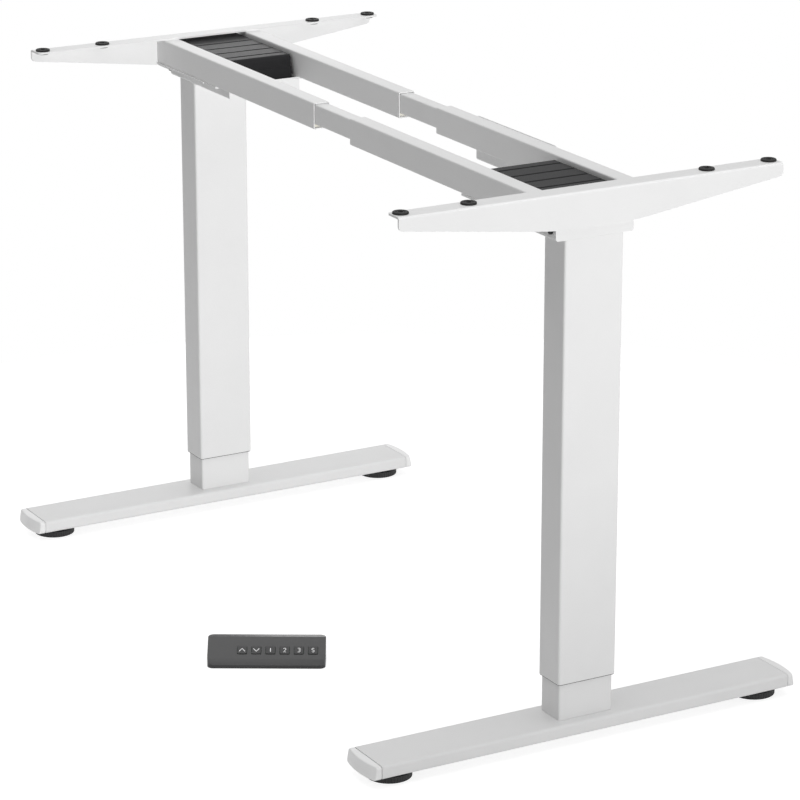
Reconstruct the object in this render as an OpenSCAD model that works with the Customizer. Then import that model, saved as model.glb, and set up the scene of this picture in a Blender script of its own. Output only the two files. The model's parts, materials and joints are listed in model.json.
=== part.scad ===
// Height-adjustable desk frame: two telescopic columns on feet, two telescopic crossbeams,
// side brackets for the desktop, a motor over each column, a control box and a handset.
// +X runs along the crossbeams, +Y to the back, +Z up. The origin is on the floor, mid-frame.
// The frame is drawn fully lowered, with the crossbeams part way out.

/* [Overall] */
// Height of the bracket tops above the floor
frame_h = 682.5; // [650:0.5:760]
// Width over the side brackets
frame_w = 1014; // [980:1:1160]
// Travel of each column
lift_travel = 430; // [300:5:440]
// Travel left for pulling each side bracket outwards
spread_travel = 200; // [100:5:210]

/* [Columns] */
// Outer tube, front to back
tube_w = 80; // [70:1:90]
// Outer tube, left to right
tube_d = 46; // [40:1:48]
// Corner radius of the outer tube
tube_corner = 4; // [2.5:0.5:6]
// Wall of both column tubes
tube_wall = 1.5; // [1:0.1:2]
// Gap between the outer tube's bore and the inner tube
tube_gap = 1; // [0.8:0.1:2]
// Column centre, in from the outer face of the side bracket
column_inset = 26; // [25.5:0.5:32]
// Length of inner tube that shows below the outer tube
inner_show = 47; // [20:1:90]
// Space between the inner tube's top and the head
top_space = 26; // [24:1:60]
// Height of the plastic liners between the tubes
liner_h = 30; // [15:1:50]

/* [Lifting spindle] */
// Spindle diameter
spindle_d = 12; // [8:0.5:14]
// Height of the nut fixed in the inner tube
nut_h = 25; // [15:1:35]
// Outer diameter of the spindle bearing
bearing_d = 28; // [24:1:32]
// Height of the spindle bearing
bearing_h = 8; // [5:0.5:9]
// Diameter of the worm wheel on the spindle
wheel_d = 32; // [26:1:33]
// Thickness of the worm wheel
wheel_h = 12; // [6:1:14]

/* [Feet] */
// Length of the foot tube
foot_l = 574; // [540:1:700]
// Width of the foot tube
foot_w = 70; // [66:1:90]
// Height of the foot tube
foot_h = 17; // [16:1:30]
// Wall of the foot tube
foot_wall = 2; // [1.5:0.1:2.5]
// Edge radius of the foot tube
foot_corner = 4; // [3:0.5:6]
// Length of the end caps at their corners
cap_l = 10; // [6:0.5:16]
// Extra length of the end caps in the middle
cap_bulge = 5; // [2:0.5:8]
// Height of the foot tube above the floor
level_gap = 12; // [10:0.5:16]
// Diameter of the levelling glides
pad_d = 55; // [40:1:60]
// Height of the levelling glides
pad_h = 8; // [6:0.5:9]
// Glide centre, in from the foot tube's end
pad_end = 28; // [26:0.5:60]
// Travel of the levelling screws
level_travel = 10; // [4:1:10]

/* [Side brackets] */
// Length of the side brackets
bracket_l = 521; // [480:1:700]
// Width of the top flange
flange_w = 27; // [25:0.5:40]
// Sheet thickness of the side brackets
bracket_wall = 2.5; // [2:0.1:3]
// Height of the web at its tips
web_tip_h = 16; // [10:0.5:22]
// Length of the web's level middle
web_flat_l = 112; // [100:1:200]
// Outer desktop screw holes, in from the bracket's tips
hole_end = 11; // [11:0.5:30]
// Distance from an outer to the next inner desktop screw hole
hole_step = 88; // [60:1:110]
// Desktop screw holes, in from the outer face of the web
hole_inset = 15.5; // [14:0.5:20]
// Clear hole in the rubber grommets
screw_bore = 6.5; // [5:0.1:8]
// Diameter of the rubber grommets
grommet_d = 19; // [17:0.5:24]

/* [Crossbeams] */
// Rail width, front to back
rail_w = 23; // [20:0.5:30]
// Rail height
rail_h = 34; // [33:0.5:40]
// Wall of the rails and bars
rail_wall = 1.5; // [1:0.1:2]
// Clear distance between the two rails
rail_gap = 101; // [98:1:110]
// Length of bar that shows between the left and right rails
bar_show = 95.5; // [90:0.5:200]
// How far the bars' middle is from the frame's middle
bar_offset = 2.1; // [0:0.1:10]
// Length of bar left in a rail that is pulled out all the way
bar_hold = 82; // [60:1:90]
// Bar height
bar_h = 26; // [20:0.5:27]

/* [Heads and motors] */
// Depth of the head below the rails
head_depth = 20; // [18:0.5:30]
// Sheet thickness of the head
head_wall = 2.5; // [2:0.1:3]
// Radius of the head's lower edges
head_corner = 6; // [4:0.5:8]
// Wall of the motor cover
cover_wall = 2; // [1.5:0.1:2]
// Number of grooves in the motor cover
grooves = 4; // [2:1:6]
// Motor diameter
motor_d = 40; // [30:1:40]
// Motor length
motor_l = 108; // [80:1:120]

/* [Control box] */
// Length of the control box
control_l = 170; // [140:1:220]
// Depth of the control box, front to back
control_w = 41; // [36:1:60]
// Height of the control box
control_h = 26; // [24:1:36]
// Wall of the control box
control_wall = 2; // [1.5:0.1:3]
// Inner end of the control box's bracket, out from the frame's middle
control_x = 111; // [80:1:130]

/* [Handset] */
// Length of the handset
hs_l = 150; // [140:1:180]
// Depth of the handset, front to back
hs_d = 42; // [42:1:50]
// Height of the handset
hs_h = 30; // [30:1:34]
// Wall of the handset's shells
hs_wall = 2; // [1.5:0.1:2.2]
// Button length
button_l = 12; // [9:0.5:14]
// Button width
button_w = 11; // [8:0.5:12]
// Distance between buttons
button_pitch = 18; // [17:0.5:20]
// Travel of each button
button_travel = 1.5; // [0.5:0.1:1.6]

/* [Hidden] */
$fn = 48;
over = 0.5;             // how far a cut runs past its piece
slide_fit = 0.2;        // between a liner and the tube that slides on it
loose_fit = 0.3;        // between pieces that must not touch
run_fit = 0.05;         // radial, between a shaft and its hole
close_fit = 0.1;        // between pieces that are fixed together

// Heights
foot_z0 = level_gap;
foot_z1 = foot_z0 + foot_h;
rail_z1 = frame_h - bracket_wall;       // the brackets' flanges lie on the rails
rail_z0 = rail_z1 - rail_h;
lip_z0 = rail_z0 - head_wall;
head_z0 = rail_z0 - head_depth;
head_floor = head_z0 + head_wall;
tube_z0 = foot_z1 + inner_show;
inner_z1 = head_z0 - top_space;
nut_z0 = inner_z1 - nut_h;

// Places along X, for the right side; the left side mirrors them
web_x1 = frame_w / 2;
web_x0 = web_x1 - bracket_wall;
flange_x0 = web_x1 - flange_w;
column_x = web_x1 - column_inset;
hole_x = web_x1 - hole_inset;
function rail_x0(s) = bar_show / 2 + s * bar_offset;

// Places along Y
rail_y = rail_gap / 2 + rail_w / 2;
rail_y1 = rail_gap / 2 + rail_w;
outer_holes = bracket_l - 2 * hole_end;
inner_holes = outer_holes - 2 * hole_step;

// Column tubes
bore_w = tube_w - 2 * tube_wall;
bore_d = tube_d - 2 * tube_wall;
inner_w = bore_w - 2 * tube_gap;
inner_d = bore_d - 2 * tube_gap;
inner_corner = tube_corner - tube_wall;
plug_w = inner_w - 2 * tube_wall;
plug_d = inner_d - 2 * tube_wall;
plate_h = 6;            // welded plate in the inner tube's foot

// Spindle
spindle_spare = 15;     // thread left below the nut with the column fully out
spindle_z0 = nut_z0 - lift_travel - spindle_spare;
collar_step = 4;
collar_d = spindle_d + 2 * collar_step;
collar_h = 4;
wheel_teeth = 24;
tooth_depth = 1.5;

// Gearbox and motor, beside the worm wheel
motor_gap = 1.5;        // around the motor
wheel_z = head_floor + motor_gap + motor_d / 2;
worm_r = 5;
motor_y = wheel_d / 2 + worm_r;
motor_cap_l = 4;
gearbox_wall = 3.7;
gearbox_roof = 11.5;
gearbox_d = wheel_d + 2 * loose_fit + 2 * gearbox_wall;
gearbox_front = 24;     // from the column's middle to the gearbox's front and back
gearbox_back = 42;
gearbox_z1 = wheel_z + wheel_h / 2 + gearbox_roof;
spindle_z1 = gearbox_z1 - gearbox_wall;
motor_x0 = column_x - gearbox_d / 2 - motor_l;

// Motor cover and head
cover_end_gap = 1;
cover_space = 12;       // from the motor's end to the cover
cover_roof = 3.7;       // from the motor to the cover's top
cover_corner = 6;
cover_x0 = motor_x0 - motor_cap_l - cover_space - cover_wall;
cover_x1 = web_x0 - head_wall - cover_end_gap;
cover_z1 = wheel_z + motor_d / 2 + cover_roof + cover_wall;
groove_w = 3;
groove_depth = 1;
groove_end = 3;         // from a groove's end to the cover's side
groove_pitch = 30;
groove_x0 = 20;         // first groove, from the cover's inner end
head_end = 10;          // the pan reaches this far beyond the cover
head_x0 = cover_x0 - head_end;
head_l = web_x0 - head_x0;
head_w = rail_gap + 2 * head_wall;
cover_w = head_w - 2 * head_corner;
spindle_hole_d = 26;

// Fasteners
bolt_d = 6;
bolt_clear = 6.4;
bolt_head_d = 11;
bolt_head_h = 3.3;
bolt_socket_d = 4.6;
bolt_socket_depth = 2;
bolt_l = 8;
weld_nut_d = 12;
weld_nut_h = 3;
bolt_end = 20;          // inner bolts, from the head's inner end
bolt_x_in = head_x0 + bolt_end;
bolt_inset = 24.5;      // outer bolts, from the web
bolt_x_out = web_x0 - bolt_inset;
tab_l = 14;             // bracket tabs under the rails, front to back
tab_w = 45;
tab_side = 2.5;         // from a tab to the rail's outer side
tab_y = rail_y1 - tab_side - tab_l / 2;
side_bolt_end = 6.5;    // bolts through the head's sides into the cover, from the cover's end
side_bolt_h = 8.5;      // and above the head's floor
side_bolt_x = cover_x1 - side_bolt_end;
side_bolt_z = head_floor + side_bolt_h;

// Foot fasteners
foot_bolt_l = 8;
foot_bolt_side = 7;     // bolt centres, in from the plate's sides and ends
foot_bolt_end = 10;
foot_bolt_x = plug_d / 2 - foot_bolt_side;
foot_bolt_y = plug_w / 2 - foot_bolt_end;
foot_access_d = 13;
stud_d = 8;
stud_nut_d = 16;
stud_nut_h = 8;
pad_neck_d = 22;
pad_edge = 1.5;
pad_y = foot_l / 2 - pad_end;
stud_hold = 4;          // stud left in its nut with the glide screwed out
cap_slant = 3;          // the cap's foot stands out this far beyond its top
cap_edge = 1.5;         // upright edges above and below the slant
cap_plug_gap = 1;
cap_plug_l = pad_end - stud_nut_d / 2 - cap_plug_gap;

// Side bracket
web_margin = 1.5;       // the web reaches this far below its tabs
web_mid_h = rail_h + head_wall + 2 * bracket_wall + web_margin;
bend_r = 3;
bracket_corner = 5;
grommet_hole_d = 13;
grommet_lip_d = 16;
grommet_lip_h = 1.5;
grommet_h = 2.5;
grommet_ring_d = 12;
grommet_ring_depth = 0.8;
grommet_edge = 0.8;

// Crossbeams
rail_corner = 2;
bar_clear = 0.4;
bar_z1 = rail_z1 - rail_wall - bar_clear;
bar_z0 = bar_z1 - bar_h;
bar_w = rail_w - 2 * rail_wall - 2 * bar_clear;
bar_l = bar_show + 2 * spread_travel + 2 * bar_hold;
pad_l = 40;             // sliding pad under the bar at each rail's mouth
pad_inset = 8;

// Control box
sheet = 1.5;
shelf_margin = 10;      // bracket beyond each end of the box
shelf_l = control_l + 2 * shelf_margin;
shelf_drop = 23;        // shelf below the rails
shelf_z0 = rail_z0 - shelf_drop;
box_x0 = control_x + shelf_margin;
box_y0 = rail_y1 + sheet + loose_fit;
box_z0 = shelf_z0 + sheet;
lid_h = 4;
lid_rim_h = 3;
box_h = control_h - lid_h;
inlet_w = 20;
socket_w = 12;
socket_h = 9;
socket_z = 7;
socket_pitch = 30;
socket_x0 = 22;

// Handset, drawn about its own middle and turned to face the front right
hs_x = 100;
hs_y = -224;
hs_turn = 60;
hs_front_h = 4.5;       // upright front edge
hs_chin_y = 6;          // sloped strip below the buttons
hs_chin_h = 6.5;
panel_y = 20;           // button panel: its run and rise
panel_h = 15;
hs_brow_y = 8;          // shallow strip above the panel
hs_corner = 8;
hs_screw_d = 4.2;
hs_screw_end = 15;       // screws, from the handset's ends
panel_tilt = atan(panel_h / panel_y);
panel_y0 = -hs_d / 2 + hs_chin_y;
panel_z0 = hs_front_h + hs_chin_h;
hs_drop = hs_wall / cos(panel_tilt);
buttons = 6;
button_end = 16;        // last button, from the handset's end
button_proud = 1;
button_gap = 0.3;
button_flange = 0.8;
button_flange_h = 1;
board_t = 1.6;
board_w = 20;
board_depth = hs_wall + loose_fit + button_flange_h + button_travel + 2 * loose_fit;

white_steel = [0.93, 0.93, 0.93];
bare_steel = [0.70, 0.71, 0.73];
black_plastic = [0.10, 0.10, 0.11];
black_steel = [0.12, 0.12, 0.13];
grey_plastic = [0.80, 0.80, 0.81];
pale_plastic = [0.88, 0.86, 0.80];

// The right side is drawn, and the left side is its mirror image
module side(s) {
    if (s > 0) children();
    else mirror([1, 0, 0]) children();
}

// Front (-1) or rear (1) of what is drawn at the rear
module end(e) {
    if (e > 0) children();
    else mirror([0, 1, 0]) children();
}

// Rectangle with round corners, about its middle
module round_rect(w, h, r) {
    square([w - 2 * r, h], center = true);
    square([w, h - 2 * r], center = true);
    for (x = [-1, 1], y = [-1, 1]) translate([x * (w / 2 - r), y * (h / 2 - r)]) circle(r);
}

module tube_section(w, h, r, wall) {
    difference() {
        round_rect(w, h, r);
        round_rect(w - 2 * wall, h - 2 * wall, r - wall);
    }
}

// Draws an outline of the YZ plane along X, from x
module along_x(x, length) {
    translate([x, 0, 0]) rotate([90, 0, 90]) linear_extrude(length) children();
}

// Draws an outline of the XZ plane along Y, about the middle
module along_y(length) {
    rotate([90, 0, 0]) linear_extrude(length, center = true) children();
}

module post(d, z0, z1) {
    translate([0, 0, z0]) cylinder(d = d, h = z1 - z0);
}

// Feet

module foot(s) {
    color(white_steel) side(s) translate([column_x, 0, 0]) difference() {
        union() {
            translate([0, 0, foot_z0 + foot_h / 2]) along_y(foot_l)
                tube_section(foot_w, foot_h, foot_corner, foot_wall);
            for (e = [-1, 1]) translate([0, e * pad_y, 0])
                post(stud_nut_d, foot_z0 + foot_wall / 2, foot_z0 + foot_wall + stud_nut_h);
        }
        for (e = [-1, 1]) translate([0, e * pad_y, 0])
            post(stud_d + 2 * run_fit, foot_z0 - over, foot_z0 + foot_wall + stud_nut_h + over);
        for (x = [-1, 1], y = [-1, 1]) translate([x * foot_bolt_x, y * foot_bolt_y, 0]) {
            post(bolt_clear, foot_z1 - foot_wall - over, foot_z1 + over);
            post(foot_access_d, foot_z0 - over, foot_z0 + foot_wall + over);
        }
    }
}

// Plan of a cap's end: straight sides and a shallow arc across
module cap_plan(length) {
    arc_r = (pow(foot_w / 2, 2) + pow(cap_bulge, 2)) / (2 * cap_bulge);
    intersection() {
        translate([-foot_w / 2, 0]) square([foot_w, length + cap_bulge]);
        translate([0, length + cap_bulge - arc_r]) circle(arc_r, $fn = 180);
    }
}

module foot_cap() {
    translate([0, foot_l / 2, foot_z0 + foot_h / 2]) {
        intersection() {
            translate([0, cap_l / 2, 0]) along_y(cap_l + 2 * cap_bulge)
                round_rect(foot_w, foot_h, foot_corner);
            hull() {
                translate([0, 0, -foot_h / 2]) linear_extrude(cap_edge) cap_plan(cap_l);
                translate([0, 0, foot_h / 2 - cap_edge]) linear_extrude(cap_edge) cap_plan(cap_l - cap_slant);
            }
        }
        translate([0, -cap_plug_l / 2 + over / 2, 0]) along_y(cap_plug_l + over)
            round_rect(foot_w - 2 * foot_wall - 2 * close_fit, foot_h - 2 * foot_wall - 2 * close_fit,
                       foot_corner - foot_wall - close_fit);
    }
}

module foot_caps(s) {
    color(grey_plastic) side(s) translate([column_x, 0, 0]) for (e = [-1, 1]) end(e) foot_cap();
}

module glide(s, e) {
    color(black_plastic) side(s) translate([column_x, e * pad_y, 0]) {
        rotate_extrude($fn = 72) polygon([
            [0, 0], [pad_d / 2 - pad_edge, 0], [pad_d / 2, pad_edge], [pad_d / 2, pad_h - pad_edge],
            [pad_d / 2 - pad_edge, pad_h], [0, pad_h]
        ]);
        post(pad_neck_d, pad_h - over, foot_z0 - loose_fit);
        post(stud_d, pad_h - over, foot_z0 + level_travel + stud_hold);
    }
}

module foot_bolts(s) {
    color(bare_steel) side(s) translate([column_x, 0, 0])
        for (x = [-1, 1], y = [-1, 1]) translate([x * foot_bolt_x, y * foot_bolt_y, 0]) difference() {
            union() {
                post(bolt_d, foot_z1 - foot_wall, foot_z1 - foot_wall + foot_bolt_l);
                post(bolt_head_d, foot_z1 - foot_wall - bolt_head_h, foot_z1 - foot_wall);
            }
            translate([0, 0, foot_z1 - foot_wall - bolt_head_h - over])
                cylinder(d = bolt_socket_d, h = bolt_socket_depth + over, $fn = 6);
        }
}

// Columns

module inner_tube(s) {
    color(white_steel) side(s) translate([column_x, 0, 0]) difference() {
        union() {
            translate([0, 0, foot_z1]) linear_extrude(inner_z1 - foot_z1)
                tube_section(inner_d, inner_w, inner_corner, tube_wall);
            translate([0, 0, foot_z1]) linear_extrude(plate_h)
                round_rect(plug_d + tube_wall, plug_w + tube_wall, inner_corner - tube_wall / 2);
        }
        for (x = [-1, 1], y = [-1, 1]) translate([x * foot_bolt_x, y * foot_bolt_y, 0])
            post(bolt_d + 2 * run_fit, foot_z1 - over, foot_z1 + plate_h + over);
    }
}

module spindle_nut(s) {
    color(pale_plastic) side(s) translate([column_x, 0, 0]) difference() {
        translate([0, 0, nut_z0]) linear_extrude(nut_h)
            round_rect(plug_d - 2 * close_fit, plug_w - 2 * close_fit, inner_corner - tube_wall);
        post(spindle_d + 2 * run_fit, nut_z0 - over, inner_z1 + over);
    }
}

// Plastic sleeve round the inner tube's top, which slides in the outer tube
module inner_liner(s) {
    color(pale_plastic) side(s) translate([column_x, 0, inner_z1 - liner_h]) linear_extrude(liner_h)
        tube_section(bore_d - 2 * slide_fit, bore_w - 2 * slide_fit, inner_corner + tube_gap - slide_fit,
                     tube_gap - slide_fit);
}

module outer_tube(s) {
    color(white_steel) side(s) translate([column_x, 0, 0]) difference() {
        union() {
            translate([0, 0, tube_z0]) linear_extrude(head_z0 - tube_z0)
                tube_section(tube_d, tube_w, tube_corner, tube_wall);
            translate([0, 0, head_z0 - bearing_h]) linear_extrude(bearing_h)
                round_rect(bore_d + tube_wall, bore_w + tube_wall, tube_corner - tube_wall / 2);
        }
        post(bearing_d + 2 * run_fit, head_z0 - bearing_h - over, head_z0 + over);
    }
}

// Plastic collar fixed in the outer tube's mouth, which the inner tube slides in
module outer_liner(s) {
    color(black_plastic) side(s) translate([column_x, 0, tube_z0 + close_fit]) linear_extrude(liner_h)
        difference() {
            round_rect(bore_d, bore_w, tube_corner - tube_wall);
            round_rect(inner_d + 2 * slide_fit, inner_w + 2 * slide_fit, inner_corner + slide_fit);
        }
}

module spindle(s) {
    color(bare_steel) side(s) translate([column_x, 0, 0]) {
        post(spindle_d, spindle_z0, spindle_z1);
        post(collar_d, head_z0 - bearing_h - loose_fit - collar_h, head_z0 - bearing_h - loose_fit);
    }
}

module worm_wheel(s) {
    color("goldenrod") side(s) translate([column_x, 0, wheel_z]) difference() {
        translate([0, 0, -wheel_h / 2]) cylinder(d = wheel_d, h = wheel_h);
        translate([0, 0, -wheel_h / 2 - over]) cylinder(d = spindle_d + 2 * run_fit, h = wheel_h + 2 * over);
        for (i = [0 : wheel_teeth - 1]) rotate([0, 0, i * 360 / wheel_teeth])
            translate([wheel_d / 2 - tooth_depth, -tooth_depth / 2, -wheel_h / 2 - over])
                cube([2 * tooth_depth, tooth_depth, wheel_h + 2 * over]);
    }
}

module bearing(s) {
    color(bare_steel) side(s) translate([column_x, 0, 0]) difference() {
        post(bearing_d, head_z0 - bearing_h, head_z0);
        post(spindle_d + 2 * run_fit, head_z0 - bearing_h - over, head_z0 + over);
    }
}

// Heads and motors

// U outline with round lower corners
module pan_outline(w, z0, z1, r) {
    translate([-w / 2, z0 + r]) square([w, z1 - z0 - r]);
    translate([-w / 2 + r, z0]) square([w - 2 * r, r]);
    for (e = [-1, 1]) translate([e * (w / 2 - r), z0 + r]) circle(r);
}

// Clears the bolts that go through the head's sides
module side_bolt_holes(d) {
    for (e = [-1, 1]) translate([side_bolt_x, e * head_w / 2, side_bolt_z]) rotate([e * 90, 0, 0])
        post(d, -over, bolt_l + over);
}

// Shallow pan with a lip under each rail
module head(s) {
    inside_w = head_w - 2 * head_wall;
    lip_y0 = inside_w / 2;
    color(white_steel) side(s) difference() {
        union() {
            along_x(head_x0, head_l) pan_outline(head_w, head_z0, rail_z0, head_corner);
            for (e = [-1, 1]) end(e) translate([head_x0, lip_y0, lip_z0])
                cube([head_l, rail_y1 - lip_y0, head_wall]);
        }
        along_x(head_x0 + head_wall, head_l - 2 * head_wall)
            pan_outline(inside_w, head_floor, rail_z0 + over, head_corner - head_wall);
        translate([head_x0 - over, -inside_w / 2, lip_z0])
            cube([head_l + 2 * over, inside_w, head_wall + over]);
        side_bolt_holes(bolt_clear);
        translate([column_x, 0, 0]) post(spindle_hole_d, head_z0 - over, head_floor + over);
        for (x = [bolt_x_in, bolt_x_out], e = [-1, 1]) translate([x, e * rail_y, 0])
            post(bolt_clear, lip_z0 - over, rail_z0 + over);
    }
}

module gearbox(s) {
    color(bare_steel) side(s) translate([column_x, 0, 0]) difference() {
        translate([-gearbox_d / 2, -gearbox_front, head_floor])
            cube([gearbox_d, gearbox_front + gearbox_back, gearbox_z1 - head_floor]);
        post(wheel_d + 2 * loose_fit, head_floor - over, wheel_z + wheel_h / 2 + loose_fit);
        post(spindle_d + 2 * run_fit, head_floor, spindle_z1 + loose_fit);
    }
}

module motor(s) {
    color(black_plastic) side(s) translate([motor_x0, motor_y, wheel_z]) rotate([0, 90, 0]) {
        cylinder(d = motor_d, h = motor_l);
        translate([0, 0, -motor_cap_l]) cylinder(d = motor_d / 2, h = motor_cap_l + over);
    }
}

// Side view of the cover: a box with its inner top edge rounded
module cover_outline(x0, x1, z0, z1, r) {
    translate([x0, z0]) square([x1 - x0, z1 - z0 - r]);
    translate([x0 + r, z0]) square([x1 - x0 - r, z1 - z0]);
    translate([x0 + r, z1 - r]) circle(r);
}

module motor_cover(s) {
    color(black_plastic) side(s) difference() {
        along_y(cover_w) cover_outline(cover_x0, cover_x1, head_floor, cover_z1, cover_corner);
        along_y(cover_w - 2 * cover_wall) cover_outline(cover_x0 + cover_wall, cover_x1 + over,
            head_floor - over, cover_z1 - cover_wall, cover_corner - cover_wall);
        for (i = [0 : grooves - 1])
            translate([cover_x0 + groove_x0 + i * groove_pitch, groove_end - cover_w / 2,
                       cover_z1 - groove_depth])
                cube([groove_w, cover_w - 2 * groove_end, groove_depth + over]);
        side_bolt_holes(bolt_d + 2 * run_fit);
    }
}

// Side brackets

// Web seen from the side: deep over the column and tapering to the tips
module web_outline() {
    polygon([
        [-bracket_l / 2, frame_h], [-bracket_l / 2, frame_h - web_tip_h],
        [-web_flat_l / 2, frame_h - web_mid_h], [web_flat_l / 2, frame_h - web_mid_h],
        [bracket_l / 2, frame_h - web_tip_h], [bracket_l / 2, frame_h]
    ]);
}

module side_bracket(s) {
    tab_z1 = lip_z0;
    color(white_steel) side(s) difference() {
        union() {
            intersection() {
                union() {
                    along_x(web_x0, bracket_wall) web_outline();
                    translate([flange_x0, -bracket_l / 2, frame_h - bracket_wall])
                        cube([flange_w, bracket_l, bracket_wall]);
                }
                translate([web_x1 - flange_w / 2, 0, frame_h - web_mid_h - over])
                    linear_extrude(web_mid_h + 2 * over) round_rect(flange_w, bracket_l, bracket_corner);
            }
            for (e = [-1, 1]) translate([web_x0 - tab_w, e * tab_y - tab_l / 2, tab_z1 - bracket_wall])
                cube([tab_w + over, tab_l, bracket_wall]);
        }
        translate([web_x1 - bend_r, 0, frame_h - bend_r]) along_y(bracket_l + 2 * over) difference() {
            square(bend_r + over);
            circle(bend_r);
        }
        for (y = [outer_holes, inner_holes], e = [-1, 1]) translate([hole_x, e * y / 2, 0])
            post(grommet_hole_d, frame_h - bracket_wall - over, frame_h + over);
        for (e = [-1, 1]) translate([bolt_x_out, e * rail_y, 0])
            post(bolt_clear, tab_z1 - bracket_wall - over, tab_z1 + over);
    }
}

module grommets(s) {
    neck_r = grommet_hole_d / 2 - close_fit;
    under = -bracket_wall - grommet_lip_h;
    color(black_plastic) side(s) for (y = [outer_holes, inner_holes], e = [-1, 1])
        translate([hole_x, e * y / 2, frame_h]) rotate_extrude() polygon([
            [screw_bore / 2, under], [grommet_lip_d / 2, under], [grommet_lip_d / 2, -bracket_wall],
            [neck_r, -bracket_wall], [neck_r, 0], [grommet_d / 2, 0],
            [grommet_d / 2, grommet_h - grommet_edge], [grommet_d / 2 - grommet_edge, grommet_h],
            [grommet_ring_d / 2, grommet_h],
            [grommet_ring_d / 2 - grommet_ring_depth, grommet_h - grommet_ring_depth],
            [screw_bore / 2, grommet_h - grommet_ring_depth]
        ]);
}

// Bolt that points up from the plane its head seats on
module bolt() {
    difference() {
        union() {
            post(bolt_d, 0, bolt_l);
            post(bolt_head_d, -bolt_head_h, 0);
        }
        translate([0, 0, -bolt_head_h - over])
            cylinder(d = bolt_socket_d, h = bolt_socket_depth + over, $fn = 6);
    }
}

// Bolts that hold the rails, the bracket's tabs and the motor cover to the head
module head_bolts(s) {
    seats = [[bolt_x_in, lip_z0], [bolt_x_out, lip_z0 - bracket_wall]];
    color(black_steel) side(s) for (e = [-1, 1]) {
        for (p = seats) translate([p[0], e * rail_y, p[1]]) bolt();
        translate([side_bolt_x, e * head_w / 2, side_bolt_z]) rotate([e * 90, 0, 0]) bolt();
    }
}

// Crossbeams

module rail(s, e) {
    x0 = rail_x0(s);
    color(white_steel) side(s) end(e) difference() {
        union() {
            translate([0, rail_y, rail_z0 + rail_h / 2]) along_x(x0, web_x0 - x0)
                tube_section(rail_w, rail_h, rail_corner, rail_wall);
            for (x = [bolt_x_in, bolt_x_out]) translate([x, rail_y, 0])
                post(weld_nut_d, rail_z0 + rail_wall / 2, rail_z0 + rail_wall + weld_nut_h);
        }
        for (x = [bolt_x_in, bolt_x_out]) translate([x, rail_y, 0])
            post(bolt_d + 2 * run_fit, rail_z0 - over, rail_z0 + rail_wall + weld_nut_h + over);
    }
}

module bar(e) {
    color(white_steel) end(e) translate([0, rail_y, bar_z0 + bar_h / 2])
        along_x(bar_offset - bar_l / 2, bar_l) tube_section(bar_w, bar_h, rail_corner, rail_wall);
}

module rail_pads(s) {
    color(pale_plastic) side(s) for (e = [-1, 1])
        translate([rail_x0(s) + pad_inset, e * rail_y - bar_w / 2 + rail_corner, rail_z0 + rail_wall])
            cube([pad_l, bar_w - 2 * rail_corner, bar_z0 - rail_z0 - rail_wall - loose_fit]);
}

// Control box behind the right rear rail

// Plate on the rail's back, bent into a shelf for the box
module control_bracket() {
    color(white_steel) translate([control_x, rail_y1, shelf_z0]) {
        cube([shelf_l, sheet, rail_z1 - shelf_z0]);
        cube([shelf_l, sheet + loose_fit + control_w, sheet]);
    }
}

module control_box() {
    color(black_plastic) translate([box_x0, box_y0, box_z0]) difference() {
        cube([control_l, control_w, box_h]);
        translate([control_wall, control_wall, control_wall])
            cube([control_l - 2 * control_wall, control_w - 2 * control_wall, box_h]);
        for (i = [0 : 3]) translate([socket_x0 + i * socket_pitch, control_w - control_wall - over, socket_z])
            cube([i == 3 ? inlet_w : socket_w, control_wall + 2 * over, socket_h]);
    }
}

module control_lid() {
    rim = control_wall + close_fit;
    color(black_plastic) translate([box_x0, box_y0, box_z0 + box_h]) {
        cube([control_l, control_w, lid_h]);
        translate([rim, rim, -lid_rim_h])
            cube([control_l - 2 * rim, control_w - 2 * rim, lid_rim_h + over]);
    }
}

// Handset

// Side view of the handset from its front edge to its back
module hs_outline() {
    polygon([
        [-hs_d / 2, 0], [-hs_d / 2, hs_front_h], [panel_y0, panel_z0],
        [panel_y0 + panel_y, panel_z0 + panel_h], [panel_y0 + panel_y + hs_brow_y, hs_h],
        [hs_d / 2, hs_h], [hs_d / 2, 0]
    ]);
}

module hs_place() {
    translate([hs_x, hs_y, 0]) rotate([0, 0, hs_turn]) children();
}

// The panel's own plane: X along the handset, Y up the slope, Z out of the panel
module on_panel() {
    hs_place() translate([0, panel_y0 + panel_y / 2, panel_z0 + panel_h / 2])
        rotate([panel_tilt, 0, 0]) children();
}

function button_x(i) = hs_l / 2 - button_end - (buttons - 1 - i) * button_pitch;

module handset_top() {
    color(black_plastic) difference() {
        hs_place() difference() {
            intersection() {
                along_x(-hs_l / 2, hs_l) hs_outline();
                linear_extrude(hs_h) round_rect(hs_l, hs_d, hs_corner);
            }
            intersection() {
                translate([0, 0, -hs_drop]) along_x(-hs_l / 2, hs_l) hs_outline();
                translate([0, 0, -over]) linear_extrude(hs_h)
                    round_rect(hs_l - 2 * hs_wall, hs_d - 2 * hs_wall, hs_corner - hs_wall);
            }
            translate([0, 0, -hs_drop]) linear_extrude(2 * hs_drop)
                round_rect(hs_l - 2 * hs_wall, hs_d - 2 * hs_wall, hs_corner - hs_wall);
        }
        on_panel() for (i = [0 : buttons - 1]) translate([button_x(i), 0, -hs_wall])
            cube([button_l + 2 * button_gap, button_w + 2 * button_gap, 2 * hs_wall + 2 * over],
                 center = true);
    }
}

module handset_base() {
    edge = hs_wall + close_fit;
    color(black_plastic) hs_place() difference() {
        linear_extrude(hs_wall) round_rect(hs_l - 2 * edge, hs_d - 2 * edge, hs_corner - edge);
        for (e = [-1, 1]) translate([e * (hs_l / 2 - hs_screw_end), 0, 0])
            post(hs_screw_d, -over, hs_wall + over);
    }
}

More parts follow.
